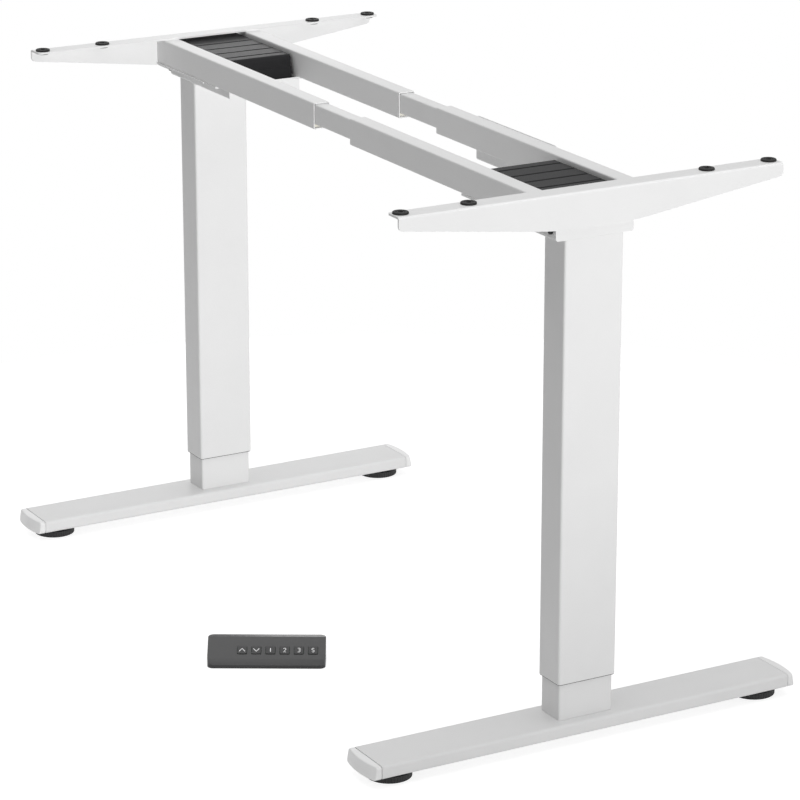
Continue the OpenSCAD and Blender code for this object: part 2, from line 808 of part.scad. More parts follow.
module handset_board() {
    color("darkgreen") on_panel() translate([0, 0, -board_depth - board_t / 2])
        cube([hs_l - 2 * hs_wall - 2 * slide_fit, board_w, board_t], center = true);
}

module button(i) {
    color(black_plastic) on_panel() translate([button_x(i), 0, 0]) {
        translate([-button_l / 2, -button_w / 2, -hs_wall - button_gap])
            cube([button_l, button_w, hs_wall + button_gap + button_proud]);
        translate([-button_l / 2 - button_flange, -button_w / 2 - button_flange,
                   -hs_wall - button_gap - button_flange_h])
            cube([button_l + 2 * button_flange, button_w + 2 * button_flange, button_flange_h]);
    }
}

foot(-1);  // left_foot
foot_caps(-1);  // left_foot_caps
glide(-1, -1);  // left_front_glide
glide(-1, 1);  // left_rear_glide
inner_tube(-1);  // left_inner_tube
foot_bolts(-1);  // left_foot_bolts
spindle_nut(-1);  // left_spindle_nut
inner_liner(-1);  // left_inner_liner
outer_tube(-1);  // left_outer_tube
outer_liner(-1);  // left_outer_liner
spindle(-1);  // left_spindle
worm_wheel(-1);  // left_worm_wheel
bearing(-1);  // left_bearing
gearbox(-1);  // left_gearbox
motor(-1);  // left_motor
head(-1);  // left_head
motor_cover(-1);  // left_motor_cover
side_bracket(-1);  // left_side_bracket
grommets(-1);  // left_grommets
head_bolts(-1);  // left_head_bolts
foot(1);  // right_foot
foot_caps(1);  // right_foot_caps
glide(1, -1);  // right_front_glide
glide(1, 1);  // right_rear_glide
inner_tube(1);  // right_inner_tube
foot_bolts(1);  // right_foot_bolts
spindle_nut(1);  // right_spindle_nut
inner_liner(1);  // right_inner_liner
outer_tube(1);  // right_outer_tube
outer_liner(1);  // right_outer_liner
spindle(1);  // right_spindle
worm_wheel(1);  // right_worm_wheel
bearing(1);  // right_bearing
gearbox(1);  // right_gearbox
motor(1);  // right_motor
head(1);  // right_head
motor_cover(1);  // right_motor_cover
side_bracket(1);  // right_side_bracket
grommets(1);  // right_grommets
head_bolts(1);  // right_head_bolts
rail(-1, -1);  // front_left_rail
rail(-1, 1);  // rear_left_rail
rail_pads(-1);  // left_rail_pads
bar(-1);  // front_bar
bar(1);  // rear_bar
rail(1, -1);  // front_right_rail
rail(1, 1);  // rear_right_rail
rail_pads(1);  // right_rail_pads
control_bracket();
control_box();
control_lid();
handset_top();
handset_base();
handset_board();
button(0);  // button_up
button(1);  // button_down
button(2);  // button_one
button(3);  // button_two
button(4);  // button_three
button(5);  // button_save
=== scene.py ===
"""The looks of the standing desk frame, modelled round its CAD frame.

Run as a script, each operator below makes one piece or one group of like pieces.
"""

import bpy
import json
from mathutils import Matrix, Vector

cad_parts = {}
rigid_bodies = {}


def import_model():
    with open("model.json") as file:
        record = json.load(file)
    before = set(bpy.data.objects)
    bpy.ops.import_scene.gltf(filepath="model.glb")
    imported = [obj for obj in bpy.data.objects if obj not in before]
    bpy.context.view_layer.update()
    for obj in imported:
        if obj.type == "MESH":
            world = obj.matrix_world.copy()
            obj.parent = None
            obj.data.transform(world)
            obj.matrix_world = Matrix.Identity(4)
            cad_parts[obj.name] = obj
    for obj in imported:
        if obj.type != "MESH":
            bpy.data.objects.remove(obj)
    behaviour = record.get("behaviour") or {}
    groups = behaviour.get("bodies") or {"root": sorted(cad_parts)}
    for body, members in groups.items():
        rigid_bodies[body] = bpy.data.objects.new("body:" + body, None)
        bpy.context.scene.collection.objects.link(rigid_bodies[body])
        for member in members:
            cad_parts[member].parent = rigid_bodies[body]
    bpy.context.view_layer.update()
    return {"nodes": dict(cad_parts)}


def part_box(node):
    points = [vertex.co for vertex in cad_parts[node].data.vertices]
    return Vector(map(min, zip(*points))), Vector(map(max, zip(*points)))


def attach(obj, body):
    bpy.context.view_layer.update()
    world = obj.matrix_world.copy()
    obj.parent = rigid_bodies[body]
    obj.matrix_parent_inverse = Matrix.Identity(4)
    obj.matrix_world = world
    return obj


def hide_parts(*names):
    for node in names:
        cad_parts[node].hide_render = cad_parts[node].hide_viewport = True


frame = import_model()

import json
import math
from contextlib import contextmanager

import bmesh
import bpy
from bpy.props import FloatProperty, FloatVectorProperty, IntProperty, PointerProperty
from bpy.types import Operator, Panel, PropertyGroup
from mathutils import Matrix, Vector

bl_info = {
    "name": "Standing desk frame",
    "version": (1, 0, 0),
    "blender": (4, 5, 0),
    "location": "3D View > Sidebar > Desk frame",
    "description": "Models the pieces of an electric standing desk frame round its CAD solids",
    "category": "Object",
}

SIDES = ("left", "right")
ENDS = ("front", "rear")
X, Y, Z = range(3)
# coordinates that differ by less than this count as equal
NEAR = 1e-5
# how far a cutter stands past the surface that it cuts
THROUGH = 0.001


# Sizes and colours


def length(name, description, default, most=0.1):
    return FloatProperty(
        name=name, description=description, default=default, min=0.00005, max=most, precision=5,
        subtype="DISTANCE", unit="LENGTH",
    )


def share(name, description, default):
    return FloatProperty(
        name=name, description=description, default=default, min=0, max=1, subtype="FACTOR",
    )


def colour(name, description, default):
    return FloatVectorProperty(
        name=name, description=description, default=default, min=0, max=1, size=3, subtype="COLOR",
    )


class DeskFrameSizes(PropertyGroup):
    """Sizes that the CAD solids don't already give."""

    sheet_edge: length("Sheet edge", "Rounding of cut steel edges", 0.0006)
    moulded_edge: length("Moulded edge", "Rounding of moulded edges", 0.0008)
    foot_corner: length("Foot corner", "Edge radius of the foot tubes", 0.004)
    foot_wall: length("Foot wall", "Wall of the foot tubes", 0.002)
    access_hole: length("Access hole", "Radius of the holes under the column bolts", 0.0065)
    stud_hole: length("Stud hole", "Radius of the holes for the glides' studs", 0.0042)
    cap_seam: length("Cap seam", "Gap between a foot tube and its end cap", 0.0006)
    cap_slant: length("Cap slant", "How far the end caps stand out at their foot", 0.003)
    cap_bow: length("Cap bow", "How far the end caps bow out in the middle", 0.005)
    cap_edge: length("Cap edge", "Rounding of the end caps", 0.0014)
    glide_rim: length("Glide rim", "Rounding of the glides' rims", 0.0012)
    glide_rib: length("Glide rib", "Depth of the grip ribs round the glides", 0.0006)
    glide_neck: length("Glide neck", "Radius of the glides' necks", 0.011)
    stud: length("Stud", "Radius of the glides' studs", 0.004)
    column_corner: length("Column corner", "Corner radius of the outer tubes", 0.003)
    inner_corner: length("Inner corner", "Corner radius of the inner tubes", 0.0025)
    # painted shade: these two sizes place a black ring under each outer tube, standing in for the
    # shadow line under the tube's mouth
    wiper: length("Wiper", "How far the wiper rings show under the outer tubes", 0.0008)
    shade_ring_inset: length("Wiper inset", "From the outer tubes' faces to the wiper rings", 0.0003)
    column_wall: length("Column wall", "Wall of the column tubes", 0.0015)
    head_corner: length("Head corner", "Radius of the heads' lower edges", 0.004)
    head_half: length("Head half width", "From the middle to the heads' upright sides", 0.053)
    head_end: length("Head end", "Rounding of the heads' lower ends", 0.0022)
    bead: length("Bead", "How far the heads' lips stand out from the rails", 0.0011)
    bead_start: length("Bead start", "From the heads' inner end to the lips' bead", 0.035)
    head_wall: length("Head wall", "Sheet thickness of the heads", 0.0025)
    cover_corner: length("Cover corner", "Radius of the motor covers' inner top edge", 0.006)
    cover_wall: length("Cover wall", "Wall of the motor covers", 0.002)
    cover_ledge: length("Cover ledge", "How far the lower part of the cover stands out", 0.0011)
    cover_part: length("Cover parting", "Height of the cover's lower part", 0.031)
    groove_start: length("Groove start", "First groove, from the cover's inner end", 0.020)
    groove_pitch: length("Groove pitch", "Distance between the cover's grooves", 0.030)
    groove_width: length("Groove width", "Width of the cover's grooves", 0.0034)
    groove_depth: length("Groove depth", "Depth of the cover's grooves", 0.0017)
    groove_end: length("Groove end", "From a groove's end to the cover's side", 0.003)
    bracket_wall: length("Bracket wall", "Sheet thickness of the side brackets", 0.0025)
    bend: length("Bend", "Outer radius of the side brackets' bend", 0.003)
    flange: length("Flange", "Width of the side brackets' flange", 0.027)
    web_tip: length("Web tip", "Height of the side brackets' web at its tips", 0.016)
    web_flat: length("Web flat", "Length of the web's level middle", 0.112, 0.4)
    web_corner: length("Web corner", "Rounding of the web's and the flange's corners", 0.005)
    web_knee: length("Web knee", "Rounding where the web's slope meets its middle", 0.015)
    tab: length("Tab", "Length of the brackets' tabs under the rails, front to back", 0.014)
    tab_reach: length("Tab reach", "How far the tabs reach in from the web", 0.045)
    tab_side: length("Tab side", "From a tab to the rail's outer side", 0.0025)
    grommet_pitch: length("Grommet pitch", "Between the two grommets of a bracket's end", 0.088)
    grommet_hole: length("Grommet hole", "Radius of the flange's holes", 0.0065)
    grommet_lip: length("Grommet lip", "Radius of the grommets' lower lip", 0.008)
    grommet_ring: length("Grommet ring", "Radius of the grommets' sunk middle", 0.006)
    screw_bore: length("Screw bore", "Radius of the grommets' bore", 0.00325)
    bolt_head: length("Bolt head", "Radius of the bolts' heads", 0.0055)
    bolt_height: length("Bolt height", "Height of the bolts' heads", 0.0033)
    bolt_shank: length("Bolt shank", "Radius of the bolts", 0.003)
    bolt_length: length("Bolt length", "Length of the bolts under their heads", 0.008)
    bolt_inset: length("Bolt inset", "From the web to the bolts in its tabs", 0.0245)
    side_bolt: share("Side bolt", "Size of the bolts in the covers' sides, of the others", 0.7)
    side_bolt_end: length(
        "Side bolt end", "From the cover's outer end to the bolts in its sides", 0.0065
    )
    side_bolt_rise: length(
        "Side bolt rise", "From the cover's foot to the bolts in its sides", 0.0085
    )
    rail_corner: length("Rail corner", "Corner radius of the rails and bars", 0.002)
    rail_wall: length("Rail wall", "Wall of the rails and bars", 0.0015)
    handset_corner: length("Handset corner", "Corner radius of the handset in plan", 0.008)
    handset_wall: length("Handset wall", "Wall of the handset's shell", 0.002)
    key_pitch: length("Key pitch", "Distance between the handset's buttons", 0.018)
    key_gap: length("Key gap", "Gap round each button", 0.0003)
    key_corner: length("Key corner", "Corner radius of the buttons", 0.001)
    grooves: IntProperty(
        name="Grooves", description="Grooves in each motor cover", default=4, min=1, max=6,
    )
    ribs: IntProperty(
        name="Ribs", description="Grip ribs round each glide", default=48, min=12, max=96,
    )


class DeskFrameColours(PropertyGroup):
    """Base colours of the finishes."""

    paint: colour("Paint", "Powder coat of the steel", (0.80, 0.80, 0.80))
    caps: colour("Caps", "End caps of the feet", (0.88, 0.88, 0.88))
    black: colour("Black", "Black moulded plastic", (0.016, 0.016, 0.017))
    charcoal: colour("Charcoal", "Motor covers", (0.017, 0.017, 0.018))
    rubber: colour("Rubber", "Grommets", (0.010, 0.010, 0.010))
    handset: colour("Handset", "Handset's shell", (0.028, 0.028, 0.029))
    keys: colour("Keys", "Handset's buttons", (0.022, 0.022, 0.023))
    signs: colour("Signs", "Signs on the buttons", (0.92, 0.92, 0.92))
    zinc: colour("Zinc", "Zinc plated bolts", (0.42, 0.43, 0.45))
    black_steel: colour("Black steel", "Blackened bolts", (0.035, 0.035, 0.037))
    steel: colour("Steel", "Turned steel", (0.52, 0.53, 0.55))
    brass: colour("Brass", "Worm wheels", (0.62, 0.44, 0.17))
    aluminium: colour("Aluminium", "Die-cast gearboxes", (0.50, 0.51, 0.52))
    enamel: colour("Enamel", "Motor cases", (0.04, 0.04, 0.043))
    natural: colour("Natural", "Low-friction plastic", (0.78, 0.76, 0.68))
    board: colour("Board", "Circuit board", (0.03, 0.16, 0.06))
    floor: colour("Floor", "Studio floor", (0.95, 0.95, 0.95))


def sizes():
    return bpy.context.scene.desk_frame_sizes


def colours():
    return bpy.context.scene.desk_frame_colours


# Working by hand


def only(*objs):
    """Back to object mode with just these objects selected, the first one active."""
    if bpy.context.mode != "OBJECT":
        bpy.ops.object.mode_set(mode="OBJECT")
    bpy.ops.object.select_all(action="DESELECT")
    for obj in objs:
        obj.select_set(True)
    if objs:
        bpy.context.view_layer.objects.active = objs[0]


def named(obj, name):
    obj.name = obj.data.name = name
    return obj


def settle(obj):
    """Puts the object's place, turn and scale in its mesh."""
    only(obj)
    bpy.ops.object.transform_apply(location=True, rotation=True, scale=True)
    return obj


def block(name, low, high):
    """A block from corner to corner."""
    only()
    low, high = Vector(low), Vector(high)
    bpy.ops.mesh.primitive_cube_add(size=1, location=(low + high) / 2)
    obj = named(bpy.context.object, name)
    obj.scale = high - low
    return settle(obj)


def rod(name, base, radius, height, sides=48):
    """An upright rod that stands on its base point."""
    only()
    bpy.ops.mesh.primitive_cylinder_add(
        vertices=sides, radius=radius, depth=height, end_fill_type="NGON",
        location=Vector(base) + Vector((0, 0, height / 2)),
    )
    return settle(named(bpy.context.object, name))


def sheet(name, centre, width, depth, turn):
    """A rectangle of no thickness, turned from level."""
    only()
    bpy.ops.mesh.primitive_plane_add(size=1, location=centre)
    obj = named(bpy.context.object, name)
    obj.scale = (width, depth, 1)
    obj.rotation_euler = turn
    return settle(obj)


@contextmanager
def editing(obj):
    only(obj)
    bpy.ops.object.mode_set(mode="EDIT")
    bpy.ops.mesh.select_mode(type="VERT")
    bpy.ops.mesh.select_all(action="DESELECT")
    yield
    bpy.ops.object.mode_set(mode="OBJECT")


def pick(obj, kind, test):
    """Selects just the faces, edges or corners of the mesh in edit mode that pass the test."""
    bpy.ops.mesh.select_mode(type={"faces": "FACE", "edges": "EDGE", "verts": "VERT"}[kind])
    bpy.ops.mesh.select_all(action="DESELECT")
    mesh = bmesh.from_edit_mesh(obj.data)
    mesh.normal_update()
    measure = {
        "faces": lambda face: (face.calc_center_median(), face.normal),
        "edges": lambda edge: [vert.co for vert in edge.verts],
        "verts": lambda vert: (vert.co,),
    }[kind]
    hits = [item for item in getattr(mesh, kind) if test(*measure(item))]
    if not hits:
        raise RuntimeError(f"{obj.name}: nothing to select")
    for item in hits:
        item.select_set(True)
    bmesh.update_edit_mesh(obj.data)


def pick_all():
    bpy.ops.mesh.select_all(action="SELECT")


def along(axis):
    """A test for edges that run along an axis."""
    return lambda a, b: abs((a - b).normalized()[axis]) > 0.999


def level(z):
    """A test for edges that lie at a height."""
    return lambda a, b: abs(a.z - z) < NEAR and abs(b.z - z) < NEAR


def move(x=0.0, y=0.0, z=0.0):
    bpy.ops.transform.translate(value=(x, y, z))


def extrude(x=0.0, y=0.0, z=0.0):
    bpy.ops.mesh.extrude_region_move(TRANSFORM_OT_translate={"value": (x, y, z)})


def inset(thickness, **settings):
    bpy.ops.mesh.inset(thickness=thickness, **settings)


def drop_faces():
    bpy.ops.mesh.delete(type="FACE")


def bevel(radius, steps, corners=False):
    bpy.ops.mesh.bevel(
        offset=radius, offset_type="OFFSET", segments=steps, profile=0.5,
        affect="VERTICES" if corners else "EDGES", clamp_overlap=False,
    )


def slice_at(point, normal, clear=False):
    pick_all()
    bpy.ops.mesh.bisect(plane_co=point, plane_no=normal, use_fill=clear, clear_outer=clear)


def modify(obj, kind, **settings):
    """Adds a modifier, sets it and applies it."""
    only(obj)
    bpy.ops.object.modifier_add(type=kind)
    modifier = obj.modifiers[-1]
    for key, value in settings.items():
        setattr(modifier, key, value)
    bpy.ops.object.modifier_apply(modifier=modifier.name)
    return obj


def thicken(obj, wall):
    return modify(obj, "SOLIDIFY", thickness=wall, offset=-1, use_even_offset=True)


def soften(obj, radius, steps=2, angle=50):
    """Rounds the edges that are sharper than an angle in degrees."""
    return modify(
        obj, "BEVEL", width=radius, segments=steps, limit_method="ANGLE",
        angle_limit=math.radians(angle), use_clamp_overlap=True,
    )


def cut(obj, cutter):
    """Takes the cutter out of the object, and removes it."""
    modify(obj, "BOOLEAN", operation="DIFFERENCE", solver="EXACT", object=cutter)
    bpy.data.objects.remove(cutter)
    return obj


def join(name, *objs):
    only(*objs)
    bpy.ops.object.join()
    return named(bpy.context.object, name)


def flip(obj):
    with editing(obj):
        pick_all()
        bpy.ops.mesh.flip_normals()


def outward(obj):
    """Turns a closed mesh's faces outwards."""
    mesh = bmesh.new()
    mesh.from_mesh(obj.data)
    inside_out = mesh.calc_volume(signed=True) < 0
    mesh.free()
    if inside_out:
        flip(obj)
    return obj


def face_along(obj, axis, sign):
    """Turns an open sheet over unless its main face across an axis looks the way of the sign."""
    main = max(obj.data.polygons, key=lambda p: p.area * abs(p.normal[axis]))
    if main.normal[axis] * sign < 0:
        flip(obj)


def copy(obj, name, shift=(0, 0, 0), mirror=""):
    """A copy with its own mesh, moved, or mirrored across the middle along the named axes."""
    only(obj)
    bpy.ops.object.duplicate()
    twin = named(bpy.context.object, name)
    twin.location = shift
    for axis in mirror:
        setattr(twin.scale, axis, -1)
    return outward(settle(twin))


def tube(name, low, high, axis, corner, wall, steps=5):
    """A rectangular tube along an axis, from corner to corner."""
    obj = block(name, low, high)
    with editing(obj):
        pick(obj, "faces", lambda c, n: abs(n[axis]) > 0.9)
        drop_faces()
        pick(obj, "edges", along(axis))
        bevel(corner, steps)
    thicken(obj, wall)
    return soften(obj, sizes().sheet_edge, angle=60)


def place(obj, body, slot, *nodes, angle=35):
    """Shades and finishes the piece and sets it on its body, in place of the CAD nodes."""
    only(obj)
    bpy.ops.object.shade_smooth_by_angle(angle=math.radians(angle))
    modify(obj, "WEIGHTED_NORMAL", keep_sharp=True)
    obj.data.materials.clear()
    obj.data.materials.append(finish(slot))
    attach(obj, body)
    if nodes:
        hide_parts(*nodes)
    return obj


def place_pair(obj, name, part, slot, *nodes, angle=35):
    """Places a right-hand piece and its left-hand mirror image, each on its own side's body."""
    right = named(obj, f"right_{name}")
    left = copy(obj, f"left_{name}", mirror="x")
    for side, piece in (("right", right), ("left", left)):
        place(piece, f"{side}_{part}", slot, *[f"{side}_{node}" for node in nodes], angle=angle)


# Finishes

GROUP_SOCKETS = {
    "INPUT": (("Vector", "Vector"), ("Scale", "Float"), ("Colour", "Color"), ("Shade", "Color"),
              ("Smoothest", "Float"), ("Roughest", "Float"), ("Height", "Float")),
    "OUTPUT": (("Colour", "Color"), ("Roughness", "Float"), ("Normal", "Vector")),
}
# a Mix node's colour sockets have the same names as its others, so they go by number
MIX_A, MIX_B, MIX_RESULT = 6, 7, 2


def add(tree, kind, links=(), **settings):
    """Adds a node, sets its fields and plain sockets, and links others to it."""
    node = tree.nodes.new(kind)
    for key, value in settings.items():
        if key in node.bl_rna.properties:
            setattr(node, key, value)
        else:
            node.inputs[key.replace("_", " ")].default_value = value
    for key, source in dict(links).items():
        tree.links.new(source, node.inputs[key])
    return node


def new_group(name):
    group = bpy.data.node_groups.new(name, "ShaderNodeTree")
    for way, sockets in GROUP_SOCKETS.items():
        for label, kind in sockets:
            group.interface.new_socket(label, in_out=way, socket_type=f"NodeSocket{kind}")
    return group, group.nodes.new("NodeGroupInput").outputs


def finish_group(group, enter, pattern, cloud, cloud_range, rough_range, strength):
    """Makes the group's colour from the cloud, and its roughness and normal from the pattern."""
    patch = add(group, "ShaderNodeMapRange", {"Value": cloud},
                From_Min=cloud_range[0], From_Max=cloud_range[1])
    mixed = add(group, "ShaderNodeMix",
                {"Factor": patch.outputs["Result"], MIX_A: enter["Colour"], MIX_B: enter["Shade"]},
                data_type="RGBA")
    rough = add(group, "ShaderNodeMapRange",
                {"Value": pattern, "To Min": enter["Smoothest"], "To Max": enter["Roughest"]},
                From_Min=rough_range[0], From_Max=rough_range[1])
    bump = add(group, "ShaderNodeBump", {"Height": pattern, "Distance": enter["Height"]},
               Strength=strength)
    add(group, "NodeGroupOutput",
        {"Colour": mixed.outputs[MIX_RESULT], "Roughness": rough.outputs["Result"],
         "Normal": bump.outputs["Normal"]})
    return group


def grain_group():
    """Fine moulded or sprayed grain: mottled colour, uneven roughness and a pebbled normal."""
    name = "Fine grain"
    if name in bpy.data.node_groups:
        return bpy.data.node_groups[name]
    group, enter = new_group(name)
    grain = add(group, "ShaderNodeTexNoise", {"Vector": enter["Vector"], "Scale": enter["Scale"]},
                Detail=2.0, Roughness=0.55)
    cloud = add(group, "ShaderNodeTexNoise", {"Vector": enter["Vector"]}, Scale=14.0, Detail=3.0)
    both = add(group, "ShaderNodeMath", {0: grain.outputs["Fac"], 1: cloud.outputs["Fac"]},
               operation="ADD")
    return finish_group(group, enter, grain.outputs["Fac"], both.outputs["Value"],
                        cloud_range=(0.75, 1.25), rough_range=(0.3, 0.7), strength=1.0)


def lines_group():
    """Fine tool lines across one axis, for turned, drawn and plated metal."""
    name = "Tool lines"
    if name in bpy.data.node_groups:
        return bpy.data.node_groups[name]
    group, enter = new_group(name)
    lines = add(group, "ShaderNodeTexWave", {"Vector": enter["Vector"], "Scale": enter["Scale"]},
                wave_type="BANDS", bands_direction="Z", Distortion=0.4, Detail=2.0,
                Detail_Scale=3.0)
    cloud = add(group, "ShaderNodeTexNoise", {"Vector": enter["Vector"]}, Scale=60.0, Detail=4.0)
    return finish_group(group, enter, lines.outputs["Fac"], cloud.outputs["Fac"],
                        cloud_range=(0.35, 0.65), rough_range=(0, 1), strength=0.6)


# finish: name, colour, shade of its darker patches, group, scale, smoothest, roughest, height,
# metallic, specular
FINISHES = {
    "painted_steel": ("Powder coat", "paint", 0.97, grain_group, 1300, 0.50, 0.62, 12e-6, 0, 0.35),
    "cap_plastic": ("Cap plastic", "caps", 0.965, grain_group, 1800, 0.38, 0.55, 10e-6, 0, 0.45),
    "glide_plastic": ("Glide nylon", "black", 0.75, grain_group, 1500, 0.42, 0.62, 20e-6, 0, 0.4),
    "black_plastic": ("Black plastic", "black", 0.8, grain_group, 1600, 0.4, 0.58, 20e-6, 0, 0.45),
    "cover_plastic": ("Cover plastic", "charcoal", 0.86,
                      grain_group, 1700, 0.46, 0.60, 30e-6, 0, 0.08),
    "rubber": ("Grommet rubber", "rubber", 0.7, grain_group, 1400, 0.6, 0.8, 20e-6, 0, 0.3),
    "handset_plastic": ("Handset plastic", "handset", 0.9,
                        grain_group, 2400, 0.30, 0.42, 8e-6, 0, 0.5),
    "button_plastic": ("Button plastic", "keys", 0.88,
                       grain_group, 2600, 0.36, 0.5, 10e-6, 0, 0.45),
    "signs": ("Sign ink", "signs", 0.97, grain_group, 2600, 0.45, 0.6, 5e-6, 0, 0.4),
    "liner_plastic": ("Natural plastic", "natural", 0.94,
                      grain_group, 1200, 0.4, 0.55, 10e-6, 0, 0.45),
    "motor_steel": ("Motor enamel", "enamel", 0.85, grain_group, 700, 0.28, 0.42, 20e-6, 0, 0.5),
    "cast_aluminium": ("Die-cast aluminium", "aluminium", 0.85,
                       grain_group, 900, 0.42, 0.6, 50e-6, 1, 0.5),
    "zinc_steel": ("Zinc plate", "zinc", 0.82, lines_group, 500, 0.26, 0.42, 10e-6, 1, 0.5),
    "black_steel": ("Blackened steel", "black_steel", 0.8,
                    lines_group, 500, 0.32, 0.5, 10e-6, 1, 0.5),
    "bare_steel": ("Turned steel", "steel", 0.88, lines_group, 125, 0.2, 0.4, 100e-6, 1, 0.5),
    "brass": ("Cut brass", "brass", 0.85, lines_group, 700, 0.22, 0.4, 20e-6, 1, 0.5),
    "board": ("Circuit board", "board", 0.6, grain_group, 300, 0.3, 0.5, 10e-6, 0, 0.5),
}


def new_material(name):
    material = bpy.data.materials.new(name)
    material.use_nodes = True
    material.node_tree.nodes.clear()
    return material


def finish(key):
    """The material of a finish, made the first time it is asked for."""
    (name, colour_name, shade, group_of, scale, smoothest, roughest, height, metallic,
     specular) = FINISHES[key]
    if name in bpy.data.materials:
        return bpy.data.materials[name]
    base = getattr(colours(), colour_name)
    material = new_material(name)
    tree = material.node_tree
    where = add(tree, "ShaderNodeTexCoord")
    grain = add(tree, "ShaderNodeGroup", {"Vector": where.outputs["Object"]}, node_tree=group_of(),
                Scale=scale, Colour=(*base, 1), Shade=(*[c * shade for c in base], 1),
                Smoothest=smoothest, Roughest=roughest, Height=height)
    shader = add(tree, "ShaderNodeBsdfPrincipled",
                 {"Base Color": grain.outputs["Colour"], "Roughness": grain.outputs["Roughness"],
                  "Normal": grain.outputs["Normal"]},
                 Metallic=metallic, Specular_IOR_Level=specular)
    add(tree, "ShaderNodeOutputMaterial", {"Surface": shader.outputs["BSDF"]})
    return material


# Stage

WHITE = (1, 1, 1, 1)
CAMERA_PLACE = (3.80774, -2.11494, 1.68702)
CAMERA_TURN = (math.radians(72.18), 0, math.radians(60.65))
CAMERA_LENS, CAMERA_SENSOR, CAMERA_REACH = 158.5, 36, 100
FLOOR_RADIUS, FLOOR_Z = 1.25, -0.0003
# the floor as it is seen: a little of its shade over a glow that keeps it white
SEEN_FLOOR, FLOOR_GLOW = (0.38, 0.38, 0.38, 1), 0.82
SOFT_LIGHT = 0.35
# lamps: kind, place, point that it shines at, strength, other settings
LAMPS = {
    "key_lamp": ("SPOT", (11.9, 1.4, 2.9), (0, 0, 1.03), 3550,
                 {"spot_size": math.radians(13.5), "spot_blend": 1, "use_shadow": False}),
    "top_lamp": ("SUN", (0, 0, 3), (0, 0, 0), 1.1, {"angle": math.radians(60)}),
    "rim_lamp": ("AREA", (-2.5, 1.05, 1.18), (-0.45, 0, 0.66), 5, {"shape": "SQUARE", "size": 0.5}),
}


def seen_directly(tree):
    """1 where a camera, mirror or glass ray meets the floor or the backdrop, else 0."""
    path = add(tree, "ShaderNodeLightPath").outputs
    first = add(tree, "ShaderNodeMath", {0: path["Is Camera Ray"], 1: path["Is Glossy Ray"]},
                operation="MAXIMUM")
    both = add(tree, "ShaderNodeMath",
               {0: first.outputs["Value"], 1: path["Is Transmission Ray"]}, operation="MAXIMUM")
    return both.outputs["Value"]


class DESKFRAME_OT_stage(Operator):
    """Add the floor, the backdrop, the lamps and the camera."""

    bl_idname = "deskframe.stage"
    bl_label = "Stage"

    def execute(self, context):
        for obj in list(bpy.data.objects):
            if obj.type in {"LIGHT", "CAMERA"} or obj.name == "Cube":
                bpy.data.objects.remove(obj)
        self.floor()
        self.backdrop()
        for name, lamp in LAMPS.items():
            self.lamp(name, *lamp)
        bpy.ops.object.camera_add(location=CAMERA_PLACE, rotation=CAMERA_TURN)
        camera = context.object
        camera.data.lens = CAMERA_LENS
        camera.data.sensor_width = CAMERA_SENSOR
        camera.data.clip_end = CAMERA_REACH
        context.scene.camera = camera
        context.scene.view_settings.view_transform = "Standard"
        return {"FINISHED"}

    def floor(self):
        only()
        bpy.ops.mesh.primitive_circle_add(
            vertices=128, radius=FLOOR_RADIUS, fill_type="NGON", location=(0, 0, FLOOR_Z))
        floor = settle(named(bpy.context.object, "studio_floor"))
        material = new_material("Studio floor")
        tree = material.node_tree
        lit = add(tree, "ShaderNodeBsdfDiffuse", Color=(*colours().floor, 1))
        pale = add(tree, "ShaderNodeBsdfDiffuse", Color=SEEN_FLOOR)
        glow = add(tree, "ShaderNodeEmission", Color=WHITE, Strength=FLOOR_GLOW)
        white = add(tree, "ShaderNodeAddShader",
                    {0: pale.outputs["BSDF"], 1: glow.outputs["Emission"]})
        mixed = add(tree, "ShaderNodeMixShader",
                    {0: seen_directly(tree), 1: lit.outputs["BSDF"], 2: white.outputs["Shader"]})
        add(tree, "ShaderNodeOutputMaterial", {"Surface": mixed.outputs["Shader"]})
        floor.data.materials.append(material)

    def backdrop(self):
        world = bpy.data.worlds.new("Studio")
        bpy.context.scene.world = world
        world.use_nodes = True
        tree = world.node_tree
        tree.nodes.clear()
        soft = add(tree, "ShaderNodeBackground", Color=WHITE, Strength=SOFT_LIGHT)
        white = add(tree, "ShaderNodeBackground", Color=WHITE, Strength=1.0)
        mixed = add(tree, "ShaderNodeMixShader",
                    {0: seen_directly(tree), 1: soft.outputs["Background"],
                     2: white.outputs["Background"]})
        add(tree, "ShaderNodeOutputWorld", {"Surface": mixed.outputs["Shader"]})

    def lamp(self, name, kind, spot, aim, strength, settings):
        bpy.ops.object.light_add(type=kind, location=spot)
        lamp = named(bpy.context.object, name)
        lamp.rotation_euler = (Vector(spot) - Vector(aim)).to_track_quat("Z", "Y").to_euler()
        lamp.data.energy = strength
        for key, value in settings.items():
            setattr(lamp.data, key, value)


# Feet


class DESKFRAME_OT_feet(Operator):
    """Model the foot tubes with the holes in their undersides."""

    bl_idname = "deskframe.feet"
    bl_label = "Foot tubes"

    def execute(self, context):
        size = sizes()
        low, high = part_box("right_foot")
        foot = tube("foot", low, high, Y, size.foot_corner, size.foot_wall)
        bolts_low, bolts_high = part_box("right_foot_bolts")
        spots = [
            (x, y, size.access_hole)
            for x in (bolts_low.x + size.bolt_head, bolts_high.x - size.bolt_head)
            for y in (bolts_low.y + size.bolt_head, bolts_high.y - size.bolt_head)
        ]
        for end in ENDS:
            glide_low, glide_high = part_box(f"right_{end}_glide")
            spots.append((*((glide_low + glide_high) / 2).xy, size.stud_hole))
        holes = [
            rod("hole", (x, y, low.z - THROUGH), radius, size.foot_wall + 2 * THROUGH)
            for x, y, radius in spots
        ]
        cut(foot, join("holes", *holes))
        place_pair(foot, "foot_tube", "base", "painted_steel", "foot")
        return {"FINISHED"}


